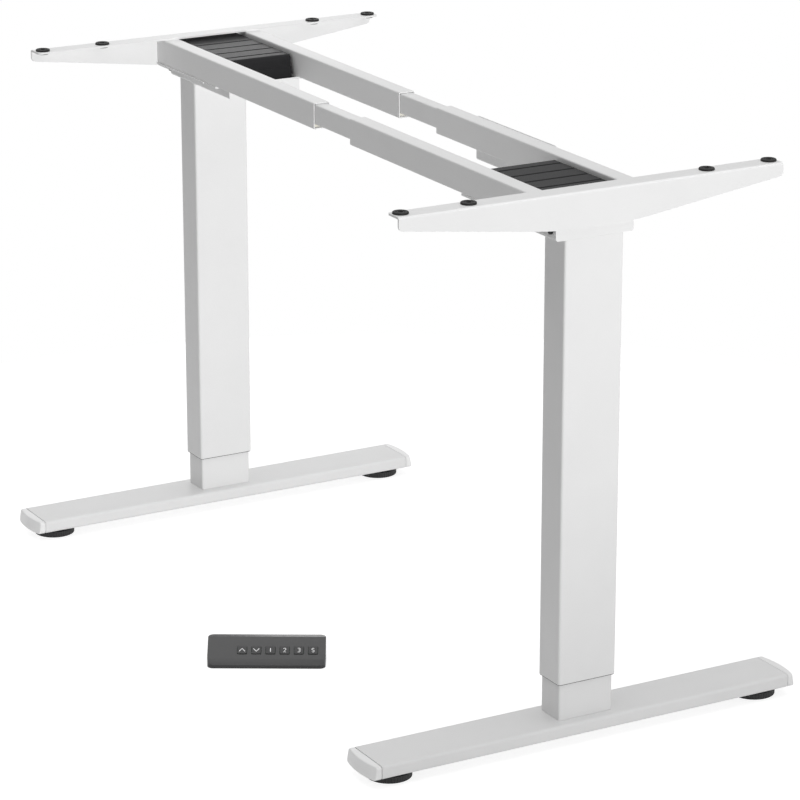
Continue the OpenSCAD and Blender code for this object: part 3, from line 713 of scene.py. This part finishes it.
class DESKFRAME_OT_foot_caps(Operator):
    """Model the end caps: bowed in plan, sloping out to their foot, with round edges."""

    bl_idname = "deskframe.foot_caps"
    bl_label = "Foot caps"

    def execute(self, context):
        size = sizes()
        low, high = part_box("right_foot")
        half = (high.x - low.x) / 2
        middle = (high.x + low.x) / 2
        start = high.y + size.cap_seam
        corner_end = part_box("right_foot_caps")[1].y - size.cap_bow
        cap = block("cap", (low.x, start, low.z), (high.x, corner_end, high.z))
        strips = 12
        lines = [low.x + 2 * half * i / strips for i in range(1, strips)]
        with editing(cap):
            for x in lines:
                slice_at((x, 0, 0), (1, 0, 0))
            for x in lines:
                pick(cap, "verts", lambda v: abs(v.x - x) < NEAR and abs(v.y - corner_end) < NEAR)
                move(y=size.cap_bow * (1 - ((x - middle) / half) ** 2))
            pick(cap, "verts", lambda v: v.z > high.z - NEAR and v.y > corner_end - NEAR)
            move(y=-size.cap_slant)
            pick(cap, "edges", lambda a, b: abs((a - b).normalized().y) > 0.9
                 and abs(a.x - middle) > half - NEAR)
            bevel(size.foot_corner, 5)
        soften(cap, size.cap_edge, steps=3, angle=40)
        plug_depth, plug_lap, plug_play, plug_edge = 0.012, 0.001, 0.0002, 0.0012
        inside = size.foot_wall + plug_play
        plug = block("plug", (low.x + inside, high.y - plug_depth, low.z + inside),
                     (high.x - inside, start + plug_lap, high.z - inside))
        soften(plug, plug_edge, steps=3)
        rear = join("rear_cap", cap, plug)
        both = join("end_caps", rear, copy(rear, "front_cap", mirror="y"))
        place_pair(both, "end_caps", "base", "cap_plastic", "foot_caps")
        return {"FINISHED"}


class DESKFRAME_OT_glides(Operator):
    """Model the levelling glides: a ribbed disc, a neck and a threaded stud."""

    bl_idname = "deskframe.glides"
    bl_label = "Levelling glides"

    def execute(self, context):
        size = sizes()
        low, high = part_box("right_rear_glide")
        centre = (low + high) / 2
        radius = (high.x - low.x) / 2
        disc_top, hub_top, neck_top = 0.008, 0.0088, 0.0117
        hub_width, rib_edge, edge, stud_edge = 0.003, 0.0002, 0.0003, 0.0006
        glide = rod("glide", (centre.x, centre.y, 0), radius, disc_top, sides=2 * size.ribs)
        with editing(glide):
            pick(glide, "faces", self.every_other_face(centre, size.ribs))
            inset(rib_edge, depth=-size.glide_rib, use_individual=True)
            pick(glide, "faces", lambda c, n: n.z > 0.9 and abs(c.z - disc_top) < NEAR)
            inset(size.glide_rim)
            inset(radius - size.glide_rim - size.glide_neck - hub_width)
            extrude(z=hub_top - disc_top)
            inset(hub_width)
            extrude(z=neck_top - hub_top)
        soften(glide, edge, angle=60)
        stud = rod("stud", (centre.x, centre.y, disc_top), size.stud, high.z - disc_top, sides=32)
        soften(stud, stud_edge)
        rear = join("rear", glide, stud)
        for side in SIDES:
            for end in ENDS:
                across = ("x" if side == "left" else "") + ("y" if end == "front" else "")
                piece = copy(rear, f"{side}_{end}_levelling_glide", mirror=across)
                place(piece, f"{side}_{end}_foot_screw", "glide_plastic", f"{side}_{end}_glide")
        bpy.data.objects.remove(rear)
        return {"FINISHED"}

    def every_other_face(self, centre, ribs):
        """A test for every other face of the disc's rim."""
        step = math.pi / ribs

        def test(c, n):
            if abs(n.z) > 0.1:
                return False
            turn = math.atan2(c.y - centre.y, c.x - centre.x) / step
            return int(round(turn - 0.5)) % 2 == 0

        return test


# Columns


class DESKFRAME_OT_columns(Operator):
    """Model the two tubes of each column, and a black ring under each outer tube's mouth that is
    painted shade: a dark line standing in for the shadow there.
    """

    bl_idname = "deskframe.columns"
    bl_label = "Columns"

    def execute(self, context):
        size = sizes()
        wall = size.column_wall
        for node, corner, name, part in (
            ("inner_tube", size.inner_corner, "inner_column", "base"),
            ("outer_tube", size.column_corner, "outer_column", "column"),
        ):
            low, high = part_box(f"right_{node}")
            place_pair(tube(name, low, high, Z, corner, wall, steps=6), name, part,
                       "painted_steel", node)
        # painted shade: a black plastic ring that shows a hair below each outer tube stands in for
        # the dark shadow line under its mouth
        low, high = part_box("right_outer_tube")
        set_in = Vector((size.shade_ring_inset, size.shade_ring_inset, size.wiper))
        ring_top = Vector((high.x, high.y, low.z + 2 * size.wiper))
        ring = tube("ring", low + set_in - Vector((0, 0, 2 * size.wiper)), ring_top - set_in, Z,
                    size.column_corner, wall)
        place_pair(ring, "wiper_ring", "column", "black_plastic")
        return {"FINISHED"}


# Heads, covers and brackets


class DESKFRAME_OT_heads(Operator):
    """Model the folded pans between the columns and the rails."""

    bl_idname = "deskframe.heads"
    bl_label = "Heads"

    def execute(self, context):
        size = sizes()
        low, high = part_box("right_head")
        lip = high.z - size.head_wall
        half = size.head_half
        pan = block("pan", (low.x, -half, low.z), (high.x, half, lip))
        with editing(pan):
            pick(pan, "faces", lambda c, n: n.z > 0.9)
            drop_faces()
            pick(pan, "edges", lambda a, b: along(X)(a, b) and a.z < low.z + NEAR)
            bevel(size.head_corner, 6)
            for sign in (-1, 1):
                pick(pan, "edges", lambda a, b: along(X)(a, b) and abs(a.y - sign * half) < NEAR
                     and a.z > lip - NEAR)
                extrude(y=sign * (high.y - half))
            pick_all()
            bpy.ops.mesh.normals_make_consistent(inside=False)
        face_along(pan, Z, -1)
        with editing(pan):
            pick(pan, "edges", lambda a, b: along(Y)(a, b) and a.z < low.z + NEAR)
            bevel(size.head_end, 3)
        thicken(pan, size.head_wall)
        bead = block("bead", (low.x + size.bead_start, high.y, lip),
                     (high.x, high.y + size.bead, high.z))
        pan = join("pan", pan, copy(bead, "bead", mirror="y"), bead)
        soften(pan, size.sheet_edge, angle=60)
        place_pair(pan, "head_pan", "column", "painted_steel", "head")
        return {"FINISHED"}


class DESKFRAME_OT_motor_covers(Operator):
    """Model the motor covers: a parting ledge, a round inner top edge and grooves across."""

    bl_idname = "deskframe.motor_covers"
    bl_label = "Motor covers"

    def execute(self, context):
        size = sizes()
        low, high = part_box("right_motor_cover")
        middle = (low.x + high.x) / 2
        part = low.z + size.cover_part
        cover = block("cover", low, (high.x, high.y, part))
        with editing(cover):
            pick(cover, "faces", lambda c, n: n.z > 0.9)
            inset(size.cover_ledge)
            extrude(z=high.z - part)
            pick(cover, "edges", lambda a, b: along(Y)(a, b) and a.z > high.z - NEAR
                 and a.x < middle)
            bevel(size.cover_corner, 6)
            pick(cover, "faces", lambda c, n: n.z < -0.9 and c.z < low.z + NEAR)
            drop_faces()
        thicken(cover, size.cover_wall)
        starts = [low.x + size.groove_start + i * size.groove_pitch for i in range(size.grooves)]
        grooves = [
            block("groove", (x, low.y + size.groove_end, high.z - size.groove_depth),
                  (x + size.groove_width, high.y - size.groove_end, high.z + THROUGH))
            for x in starts
        ]
        cut(cover, join("grooves", *grooves))
        soften(cover, size.moulded_edge, steps=3)
        place_pair(outward(cover), "cover", "column", "cover_plastic", "motor_cover")
        return {"FINISHED"}


class DESKFRAME_OT_side_brackets(Operator):
    """Fold the tapered side brackets from sheet, with their holes and tabs."""

    bl_idname = "deskframe.side_brackets"
    bl_label = "Side brackets"

    def execute(self, context):
        size = sizes()
        low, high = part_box("right_side_bracket")
        bracket = self.folded(size, low, high)
        grommets_low, grommets_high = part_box("right_grommets")
        hole_x = (grommets_low.x + grommets_high.x) / 2
        reach = grommets_high.y - (grommets_high.x - grommets_low.x) / 2
        depth, height = 0.004, 0.006
        holes = [
            rod("hole", (hole_x, sign * y, high.z - depth), size.grommet_hole, height)
            for y in (reach, reach - size.grommet_pitch) for sign in (-1, 1)
        ]
        cut(bracket, join("holes", *holes))
        tab = self.tab(size, high.x - size.bracket_wall)
        bracket = join("bracket", bracket, copy(tab, "tab", mirror="y"), tab)
        soften(bracket, size.sheet_edge, angle=60)
        place_pair(bracket, "bracket", "column", "painted_steel", "side_bracket")
        return {"FINISHED"}

    def folded(self, size, low, high):
        """The web, tapered to both tips, and the flange folded in along its top."""
        tip = high.z - size.web_tip
        knee = size.web_flat / 2
        web = sheet("bracket", (high.x, 0, (low.z + high.z) / 2), high.z - low.z, high.y - low.y,
                    (0, math.radians(90), 0))
        with editing(web):
            for y in (-knee, knee):
                slice_at((0, y, 0), (0, 1, 0))
            pick(web, "verts", lambda v: v.z < low.z + NEAR and abs(v.y) > high.y - NEAR)
            move(z=tip - low.z)
            pick(web, "edges", lambda a, b: along(Y)(a, b) and a.z > high.z - NEAR)
            extrude(x=-size.flange)
            for test, radius, steps in (
                (lambda v: v.x < high.x - NEAR and abs(v.y) > high.y - NEAR, size.web_corner, 5),
                (lambda v: v.x > high.x - NEAR and abs(v.z - tip) < NEAR, size.web_corner, 5),
                (lambda v: v.z < low.z + NEAR, size.web_knee, 6),
            ):
                pick(web, "verts", test)
                bevel(radius, steps, corners=True)
            pick(web, "edges", lambda a, b: along(Y)(a, b) and a.z > high.z - NEAR
                 and a.x > high.x - NEAR)
            bevel(size.bend, 6)
            pick_all()
            bpy.ops.mesh.normals_make_consistent(inside=False)
        face_along(web, X, 1)
        thicken(web, size.bracket_wall)
        return outward(web)

    def tab(self, size, inside):
        """The rear tab, from the web's inner face to under the rail."""
        lap, corner = 0.0005, 0.003
        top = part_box("right_head")[1].z - size.head_wall
        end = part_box("rear_right_rail")[1].y - size.tab_side
        start = inside - size.tab_reach
        tab = block("tab", (start, end - size.tab, top - size.bracket_wall),
                    (inside + lap, end, top))
        with editing(tab):
            pick(tab, "edges", lambda a, b: along(Z)(a, b) and a.x < start + NEAR)
            bevel(corner, 4)
        return tab


class DESKFRAME_OT_grommets(Operator):
    """Model the rubber grommets in the brackets' holes."""

    bl_idname = "deskframe.grommets"
    bl_label = "Grommets"

    def execute(self, context):
        size = sizes()
        low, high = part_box("right_grommets")
        radius = (high.x - low.x) / 2
        spot = Vector(((low.x + high.x) / 2, high.y - radius, 0))
        flange_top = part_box("right_side_bracket")[1].z
        flange_foot = flange_top - size.bracket_wall
        edge, sunk, rim, rim_height, play, lap = 0.001, 0.0009, 0.0046, 0.0005, 0.0001, 0.0005
        one = rod("grommet", spot + Vector((0, 0, flange_top)), radius, high.z - flange_top,
                  sides=56)
        with editing(one):
            pick(one, "edges", level(high.z))
            bevel(edge, 4)
            pick(one, "faces", lambda c, n: n.z > 0.99)
            inset(radius - edge - size.grommet_ring)
            inset(sunk)
            move(z=-sunk)
            inset(size.grommet_ring - sunk - rim)
            extrude(z=rim_height)
            inset(rim - size.screw_bore)
            extrude(z=low.z - high.z + sunk - rim_height)
            drop_faces()
            pick(one, "faces", lambda c, n: n.z < -0.99 and abs(c.z - flange_top) < NEAR)
            inset(radius - size.grommet_hole + play)
            extrude(z=-size.bracket_wall)
            inset(size.grommet_hole - play - size.screw_bore - lap)
            drop_faces()
        lip = rod("lip", spot + Vector((0, 0, low.z)), size.grommet_lip, flange_foot - low.z,
                  sides=56)
        with editing(lip):
            pick(lip, "faces", lambda c, n: abs(n.z) > 0.99)
            inset(size.grommet_lip - size.screw_bore)
            bpy.ops.mesh.bridge_edge_loops()
        one = join("grommet", one, lip)
        with editing(one):
            pick_all()
            bpy.ops.mesh.remove_doubles(threshold=0.00002)
        pieces = [one, copy(one, "grommet", shift=(0, -size.grommet_pitch, 0))]
        pieces += [copy(piece, "grommet", mirror="y") for piece in pieces]
        place_pair(join("grommets", *pieces), "rubber_grommets", "column", "rubber", "grommets",
                   angle=40)
        return {"FINISHED"}


class DESKFRAME_OT_head_bolts(Operator):
    """Model the socket bolts through the heads, the brackets' tabs and the covers' sides."""

    bl_idname = "deskframe.head_bolts"
    bl_label = "Head bolts"

    def execute(self, context):
        size = sizes()
        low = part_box("right_head_bolts")[0]
        rail_low, rail_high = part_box("rear_right_rail")
        cover_low, cover_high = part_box("right_motor_cover")
        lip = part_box("right_head")[1].z - size.head_wall
        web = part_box("right_side_bracket")[1].x - size.bracket_wall
        across = (rail_low.y + rail_high.y) / 2
        one = self.bolt(size)
        inner = copy(one, "bolt", shift=(low.x + size.bolt_head, across, lip))
        outer = copy(one, "bolt", shift=(web - size.bolt_inset, across, lip - size.bracket_wall))
        one.scale = (size.side_bolt, size.side_bolt, 1)
        one.rotation_euler.x = math.radians(90)
        one.location = (cover_high.x - size.side_bolt_end, size.head_half,
                        cover_low.z + size.side_bolt_rise)
        pieces = [inner, outer, settle(one)]
        pieces += [copy(piece, "bolt", mirror="y") for piece in pieces]
        place_pair(join("bolts", *pieces), "socket_bolts", "column", "black_steel", "head_bolts")
        return {"FINISHED"}

    def bolt(self, size):
        """A socket bolt that points up, with the seat of its head at the middle."""
        head_foot = -size.bolt_height
        head_edge, socket_radius, socket_depth, edge = 0.0012, 0.0023, 0.002, 0.0002
        bolt = rod("bolt", (0, 0, head_foot), size.bolt_head, size.bolt_height, sides=40)
        with editing(bolt):
            pick(bolt, "edges", level(head_foot))
            bevel(head_edge, 4)
            pick(bolt, "faces", lambda c, n: n.z > 0.99)
            inset(size.bolt_head - size.bolt_shank)
            extrude(z=size.bolt_length)
        socket = rod("socket", (0, 0, head_foot - THROUGH), socket_radius, socket_depth + THROUGH,
                     sides=6)
        return soften(cut(bolt, socket), edge, steps=1, angle=60)


# Crossbeams


class DESKFRAME_OT_crossbeams(Operator):
    """Model the rails and the sliding bars."""

    bl_idname = "deskframe.crossbeams"
    bl_label = "Crossbeams"

    def execute(self, context):
        size = sizes()
        beams = [(f"{end}_{side}_beam", f"{side}_column", f"{end}_{side}_rail")
                 for side in SIDES for end in ENDS]
        beams += [(f"{end}_sliding_bar", "bars", f"{end}_bar") for end in ENDS]
        for name, body, node in beams:
            low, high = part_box(node)
            beam = tube(name, low, high, X, size.rail_corner, size.rail_wall)
            place(beam, body, "painted_steel", node)
        return {"FINISHED"}


# Control box


class DESKFRAME_OT_control_box(Operator):
    """Model the control box with its sockets, its lid and its bent plate."""

    bl_idname = "deskframe.control_box"
    bl_label = "Control box"

    def execute(self, context):
        self.plate()
        self.case()
        self.lid()
        return {"FINISHED"}

    def plate(self):
        low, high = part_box("control_bracket")
        wall, corner, bend, edge = 0.0015, 0.005, 0.003, 0.0003
        plate = sheet("control_plate", ((low.x + high.x) / 2, low.y, (low.z + high.z) / 2),
                      high.x - low.x, high.z - low.z, (math.radians(90), 0, 0))
        with editing(plate):
            pick(plate, "edges", lambda a, b: along(X)(a, b) and a.z < low.z + NEAR)
            extrude(y=high.y - low.y)
            pick(plate, "verts", lambda v: v.y > high.y - NEAR or v.z > high.z - NEAR)
            bevel(corner, 5, corners=True)
            pick(plate, "edges", lambda a, b: along(X)(a, b) and a.z < low.z + NEAR
                 and a.y < low.y + NEAR)
            bevel(bend, 5)
        face_along(plate, Y, -1)
        outward(thicken(plate, wall))
        soften(plate, edge, angle=60)
        place(plate, "right_column", "painted_steel", "control_bracket")

    def case(self):
        low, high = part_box("control_box")
        wall, corner, edge = 0.002, 0.003, 0.0004
        case = block("control_case", low, high)
        with editing(case):
            pick(case, "faces", lambda c, n: n.z > 0.9)
            drop_faces()
            pick(case, "edges", along(Z))
            bevel(corner, 4)
        thicken(case, wall)
        foot, top, depth, socket_corner = 0.007, 0.016, 0.004, 0.001
        sockets = []
        for start, width in ((0.022, 0.012), (0.052, 0.012), (0.082, 0.012), (0.112, 0.020)):
            x = low.x + start
            socket = block("socket", (x, high.y - depth, low.z + foot),
                           (x + width, high.y + 2 * THROUGH, low.z + top))
            with editing(socket):
                pick(socket, "edges", along(Y))
                bevel(socket_corner, 3)
            sockets.append(socket)
        cut(case, join("sockets", *sockets))
        soften(case, edge)
        place(case, "right_column", "black_plastic", "control_box")

    def lid(self):
        low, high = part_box("control_lid")
        thickness, corner, top_edge, edge, step = 0.004, 0.003, 0.0012, 0.0002, 0.0021
        lid = block("control_cover", (low.x, low.y, high.z - thickness), high)
        with editing(lid):
            pick(lid, "edges", along(Z))
            bevel(corner, 4)
            pick(lid, "edges", level(high.z))
            bevel(top_edge, 3)
            pick(lid, "faces", lambda c, n: n.z < -0.9)
            inset(step)
            extrude(z=low.z - high.z + thickness)
        first, pitch, width, depth, margin = 0.05, 0.006, 0.002, 0.0008, 0.008
        vents = [
            block("vent", (low.x + first + i * pitch, low.y + margin, high.z - depth),
                  (low.x + first + i * pitch + width, high.y - margin, high.z + THROUGH))
            for i in range(12)
        ]
        cut(lid, join("vents", *vents))
        soften(lid, edge, steps=1, angle=60)
        place(lid, "right_column", "black_plastic", "control_lid")


# Handset

HANDSET_X, HANDSET_Y, HANDSET_TURN = 0.100, -0.224, 60
HANDSET_LENGTH, HANDSET_DEPTH, HANDSET_HEIGHT = 0.150, 0.042, 0.030
# the front's three slopes: each one's foot and top, as y and z
CHIN = ((-0.021, 0.0045), (-0.015, 0.011))
PANEL = ((-0.015, 0.011), (0.005, 0.026))
BROW = ((0.005, 0.026), (0.013, 0.030))
# the lines round the handset's foot, and how far back they go
SEAMS, SEAM_DEPTH, SEAM_END = ((0.0015, 0.0019), (0.0031, 0.0035)), 0.0004, 0.015
KEY_LENGTH, KEY_WIDTH, KEY_PROUD = 0.012, 0.011, 0.001
FIRST_KEY = -0.031
KEYS = ("up", "down", "one", "two", "three", "save")


def handset_place():
    turn = Matrix.Rotation(math.radians(HANDSET_TURN), 4, "Z")
    return Matrix.Translation((HANDSET_X, HANDSET_Y, 0)) @ turn


def panel_place():
    """The panel's middle and tilt, on a handset that stands at the origin."""
    (y0, z0), (y1, z1) = PANEL
    tilt = Matrix.Rotation(math.atan2(z1 - z0, y1 - y0), 4, "X")
    return Matrix.Translation((0, (y0 + y1) / 2, (z0 + z1) / 2)) @ tilt


def set_at(obj, matrix):
    obj.matrix_world = matrix
    return settle(obj)


def round_corners(obj, radius, steps):
    """Rounds a block's upright edges."""
    with editing(obj):
        pick(obj, "edges", along(Z))
        bevel(radius, steps)
    return obj


def handset_block(name, inwards, drop, base):
    """The handset's outer or inner form: round corners, sliced along its three front slopes."""
    half_l, half_d = HANDSET_LENGTH / 2 - inwards, HANDSET_DEPTH / 2 - inwards
    obj = block(name, (-half_l, -half_d, base), (half_l, half_d, HANDSET_HEIGHT - drop))
    round_corners(obj, sizes().handset_corner - inwards, 8)
    with editing(obj):
        for (y0, z0), (y1, z1) in (CHIN, PANEL, BROW):
            slice_at((0, y0, z0 - drop), Vector((0, z0 - z1, y1 - y0)).normalized(), clear=True)
    return obj


class DESKFRAME_OT_handset(Operator):
    """Model the handset's shell with its slopes, front lines and button pockets, and its base."""

    bl_idname = "deskframe.handset"
    bl_label = "Handset"

    def execute(self, context):
        size = sizes()
        self.shell(size)
        self.base(size)
        return {"FINISHED"}

    def shell(self, size):
        shell = handset_block("handset_shell", 0, 0, 0)
        with editing(shell):
            for seam in SEAMS:
                for z in seam:
                    slice_at((0, 0, z), (0, 0, 1))
            pick(shell, "faces", lambda c, n: abs(n.z) < 0.1 and c.y < SEAM_END
                 and any(foot < c.z < top for foot, top in SEAMS))
            bpy.ops.mesh.extrude_region_shrink_fatten(
                TRANSFORM_OT_shrink_fatten={"value": -SEAM_DEPTH})
        (y0, z0), (y1, z1) = PANEL
        drop = size.handset_wall * math.hypot(y1 - y0, z1 - z0) / (y1 - y0)
        cut(shell, handset_block("hollow", size.handset_wall, drop, -THROUGH))
        half_l, half_w = KEY_LENGTH / 2 + size.key_gap, KEY_WIDTH / 2 + size.key_gap
        pocket_foot, pocket_top, edge = -0.004, 0.003, 0.0005
        pockets = []
        for i in range(len(KEYS)):
            x = FIRST_KEY + i * size.key_pitch
            pocket = block("pocket", (x - half_l, -half_w, pocket_foot),
                           (x + half_l, half_w, pocket_top))
            round_corners(pocket, size.key_corner + size.key_gap, 4)
            pockets.append(set_at(pocket, panel_place()))
        cut(shell, join("pockets", *pockets))
        soften(shell, edge, steps=3, angle=25)
        set_at(outward(shell), handset_place())
        place(shell, "left_base", "handset_plastic", "handset_top")

    def base(self, size):
        play, thickness, edge, screw_x, screw_radius = 0.0001, 0.002, 0.0002, 0.06, 0.0021
        inwards = size.handset_wall + play
        half_l, half_d = HANDSET_LENGTH / 2 - inwards, HANDSET_DEPTH / 2 - inwards
        base = block("handset_plate", (-half_l, -half_d, 0), (half_l, half_d, thickness))
        round_corners(base, size.handset_corner - inwards, 6)
        cut(base, join("holes", *[
            rod("hole", (x, 0, -THROUGH), screw_radius, thickness + 2 * THROUGH)
            for x in (-screw_x, screw_x)
        ]))
        soften(base, edge, steps=1)
        set_at(base, handset_place())
        place(base, "left_base", "black_plastic", "handset_base")


def arc(x, y, radius, start, stop, steps=12):
    """Points on an arc, in degrees from +X."""
    turns = [math.radians(start + (stop - start) * i / steps) for i in range(steps + 1)]
    return [(x + radius * math.cos(t), y + radius * math.sin(t)) for t in turns]


# sign strokes: half width and points, in millimetres from the button's middle
SIGNS = {
    "up": (0.5, [(-3.7, -2.1), (0, 2.1), (3.7, -2.1)]),
    "down": (0.5, [(-3.7, 2.1), (0, -2.1), (3.7, 2.1)]),
    "one": (0.55, [(0, -2.7), (0, 2.7)]),
    "two": (0.4, arc(0, 1.3, 1.5, 165, -38) + [(-1.6, -2.8), (1.7, -2.8)]),
    "three": (0.4, [(-1.4, 2.8)] + arc(0.3, 1.45, 1.35, 90, -90) + [(-0.5, 0.1)]
              + arc(0.2, -1.35, 1.45, 90, -90) + [(-1.5, -2.8)]),
    "save": (0.4, arc(0, 1.4, 1.45, 25, 240) + arc(0, -1.35, 1.5, 60, -150)),
}
MILLIMETRE = 0.001
# what is left of a stroke's thickness when it is pressed flat
SIGN_FLATNESS = 0.12


class DESKFRAME_OT_buttons(Operator):
    """Model the handset's six buttons and the signs on them."""

    bl_idname = "deskframe.buttons"
    bl_label = "Buttons"

    def execute(self, context):
        size = sizes()
        on_panel = handset_place() @ panel_place()
        for i, key in enumerate(KEYS):
            x = FIRST_KEY + i * size.key_pitch
            cap = set_at(self.cap(key, x, size.key_corner), on_panel)
            place(outward(cap), f"button_{key}", "button_plastic", f"button_{key}")
            place(set_at(self.sign(key, x), on_panel), f"button_{key}", "signs")
        return {"FINISHED"}

    def cap(self, key, x, corner):
        foot, edge, flange, flange_height = -0.0023, 0.0003, 0.0008, 0.001
        cap = block(f"key_{key}", (x - KEY_LENGTH / 2, -KEY_WIDTH / 2, foot),
                    (x + KEY_LENGTH / 2, KEY_WIDTH / 2, KEY_PROUD))
        round_corners(cap, corner, 4)
        with editing(cap):
            pick(cap, "edges", level(KEY_PROUD))
            bevel(edge, 3)
            pick(cap, "faces", lambda c, n: n.z < -0.9)
            inset(flange, use_outset=True)
            extrude(z=-flange_height)
        return cap

    def sign(self, key, x):
        """A raised stroke along the sign's points, made a mesh and pressed flat."""
        half_width, points = SIGNS[key]
        only()
        curve = bpy.data.curves.new(f"sign_{key}", "CURVE")
        curve.dimensions = "3D"
        curve.bevel_depth = half_width * MILLIMETRE
        curve.bevel_resolution = 2
        curve.use_fill_caps = True
        spline = curve.splines.new("POLY")
        spline.points.add(len(points) - 1)
        for point, (across, up) in zip(spline.points, points):
            point.co = (x + across * MILLIMETRE, up * MILLIMETRE, 0, 1)
        sign = bpy.data.objects.new(f"sign_{key}", curve)
        bpy.context.scene.collection.objects.link(sign)
        only(sign)
        bpy.ops.object.convert(target="MESH")
        sign = named(bpy.context.object, f"sign_{key}")
        sign.scale.z = SIGN_FLATNESS
        sign.location.z = KEY_PROUD
        return outward(settle(sign))


# Pieces that keep their CAD shape


class DESKFRAME_OT_inner_works(Operator):
    """Give the drives, liners and bolts that keep their CAD shape their finishes."""

    bl_idname = "deskframe.inner_works"
    bl_label = "Inner works"

    def execute(self, context):
        for node in frame["nodes"].values():
            if node.hide_render:
                continue
            for slot in node.material_slots:
                slot.material = finish(slot.material.name.split(".")[0])
        return {"FINISHED"}


STEPS = (
    DESKFRAME_OT_stage, DESKFRAME_OT_feet, DESKFRAME_OT_foot_caps, DESKFRAME_OT_glides,
    DESKFRAME_OT_columns, DESKFRAME_OT_heads, DESKFRAME_OT_motor_covers,
    DESKFRAME_OT_side_brackets, DESKFRAME_OT_grommets, DESKFRAME_OT_head_bolts,
    DESKFRAME_OT_crossbeams, DESKFRAME_OT_control_box, DESKFRAME_OT_handset,
    DESKFRAME_OT_buttons, DESKFRAME_OT_inner_works,
)


class DESKFRAME_PT_panel(Panel):
    """The desk frame's pieces, sizes and colours."""

    bl_idname = "DESKFRAME_PT_panel"
    bl_label = "Desk frame"
    bl_space_type = "VIEW_3D"
    bl_region_type = "UI"
    bl_category = "Desk frame"

    def draw(self, context):
        for step in STEPS:
            self.layout.operator(step.bl_idname)
        for group in (context.scene.desk_frame_sizes, context.scene.desk_frame_colours):
            column = self.layout.column()
            for name in group.__annotations__:
                column.prop(group, name)


CLASSES = (DeskFrameSizes, DeskFrameColours, *STEPS, DESKFRAME_PT_panel)


def register():
    for cls in CLASSES:
        bpy.utils.register_class(cls)
    bpy.types.Scene.desk_frame_sizes = PointerProperty(type=DeskFrameSizes)
    bpy.types.Scene.desk_frame_colours = PointerProperty(type=DeskFrameColours)


def unregister():
    del bpy.types.Scene.desk_frame_colours
    del bpy.types.Scene.desk_frame_sizes
    for cls in reversed(CLASSES):
        bpy.utils.unregister_class(cls)


def main():
    register()
    for step in STEPS:
        group, name = step.bl_idname.split(".")
        getattr(getattr(bpy.ops, group), name)()
    only()
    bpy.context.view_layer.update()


if __name__ == "__main__":
    main()
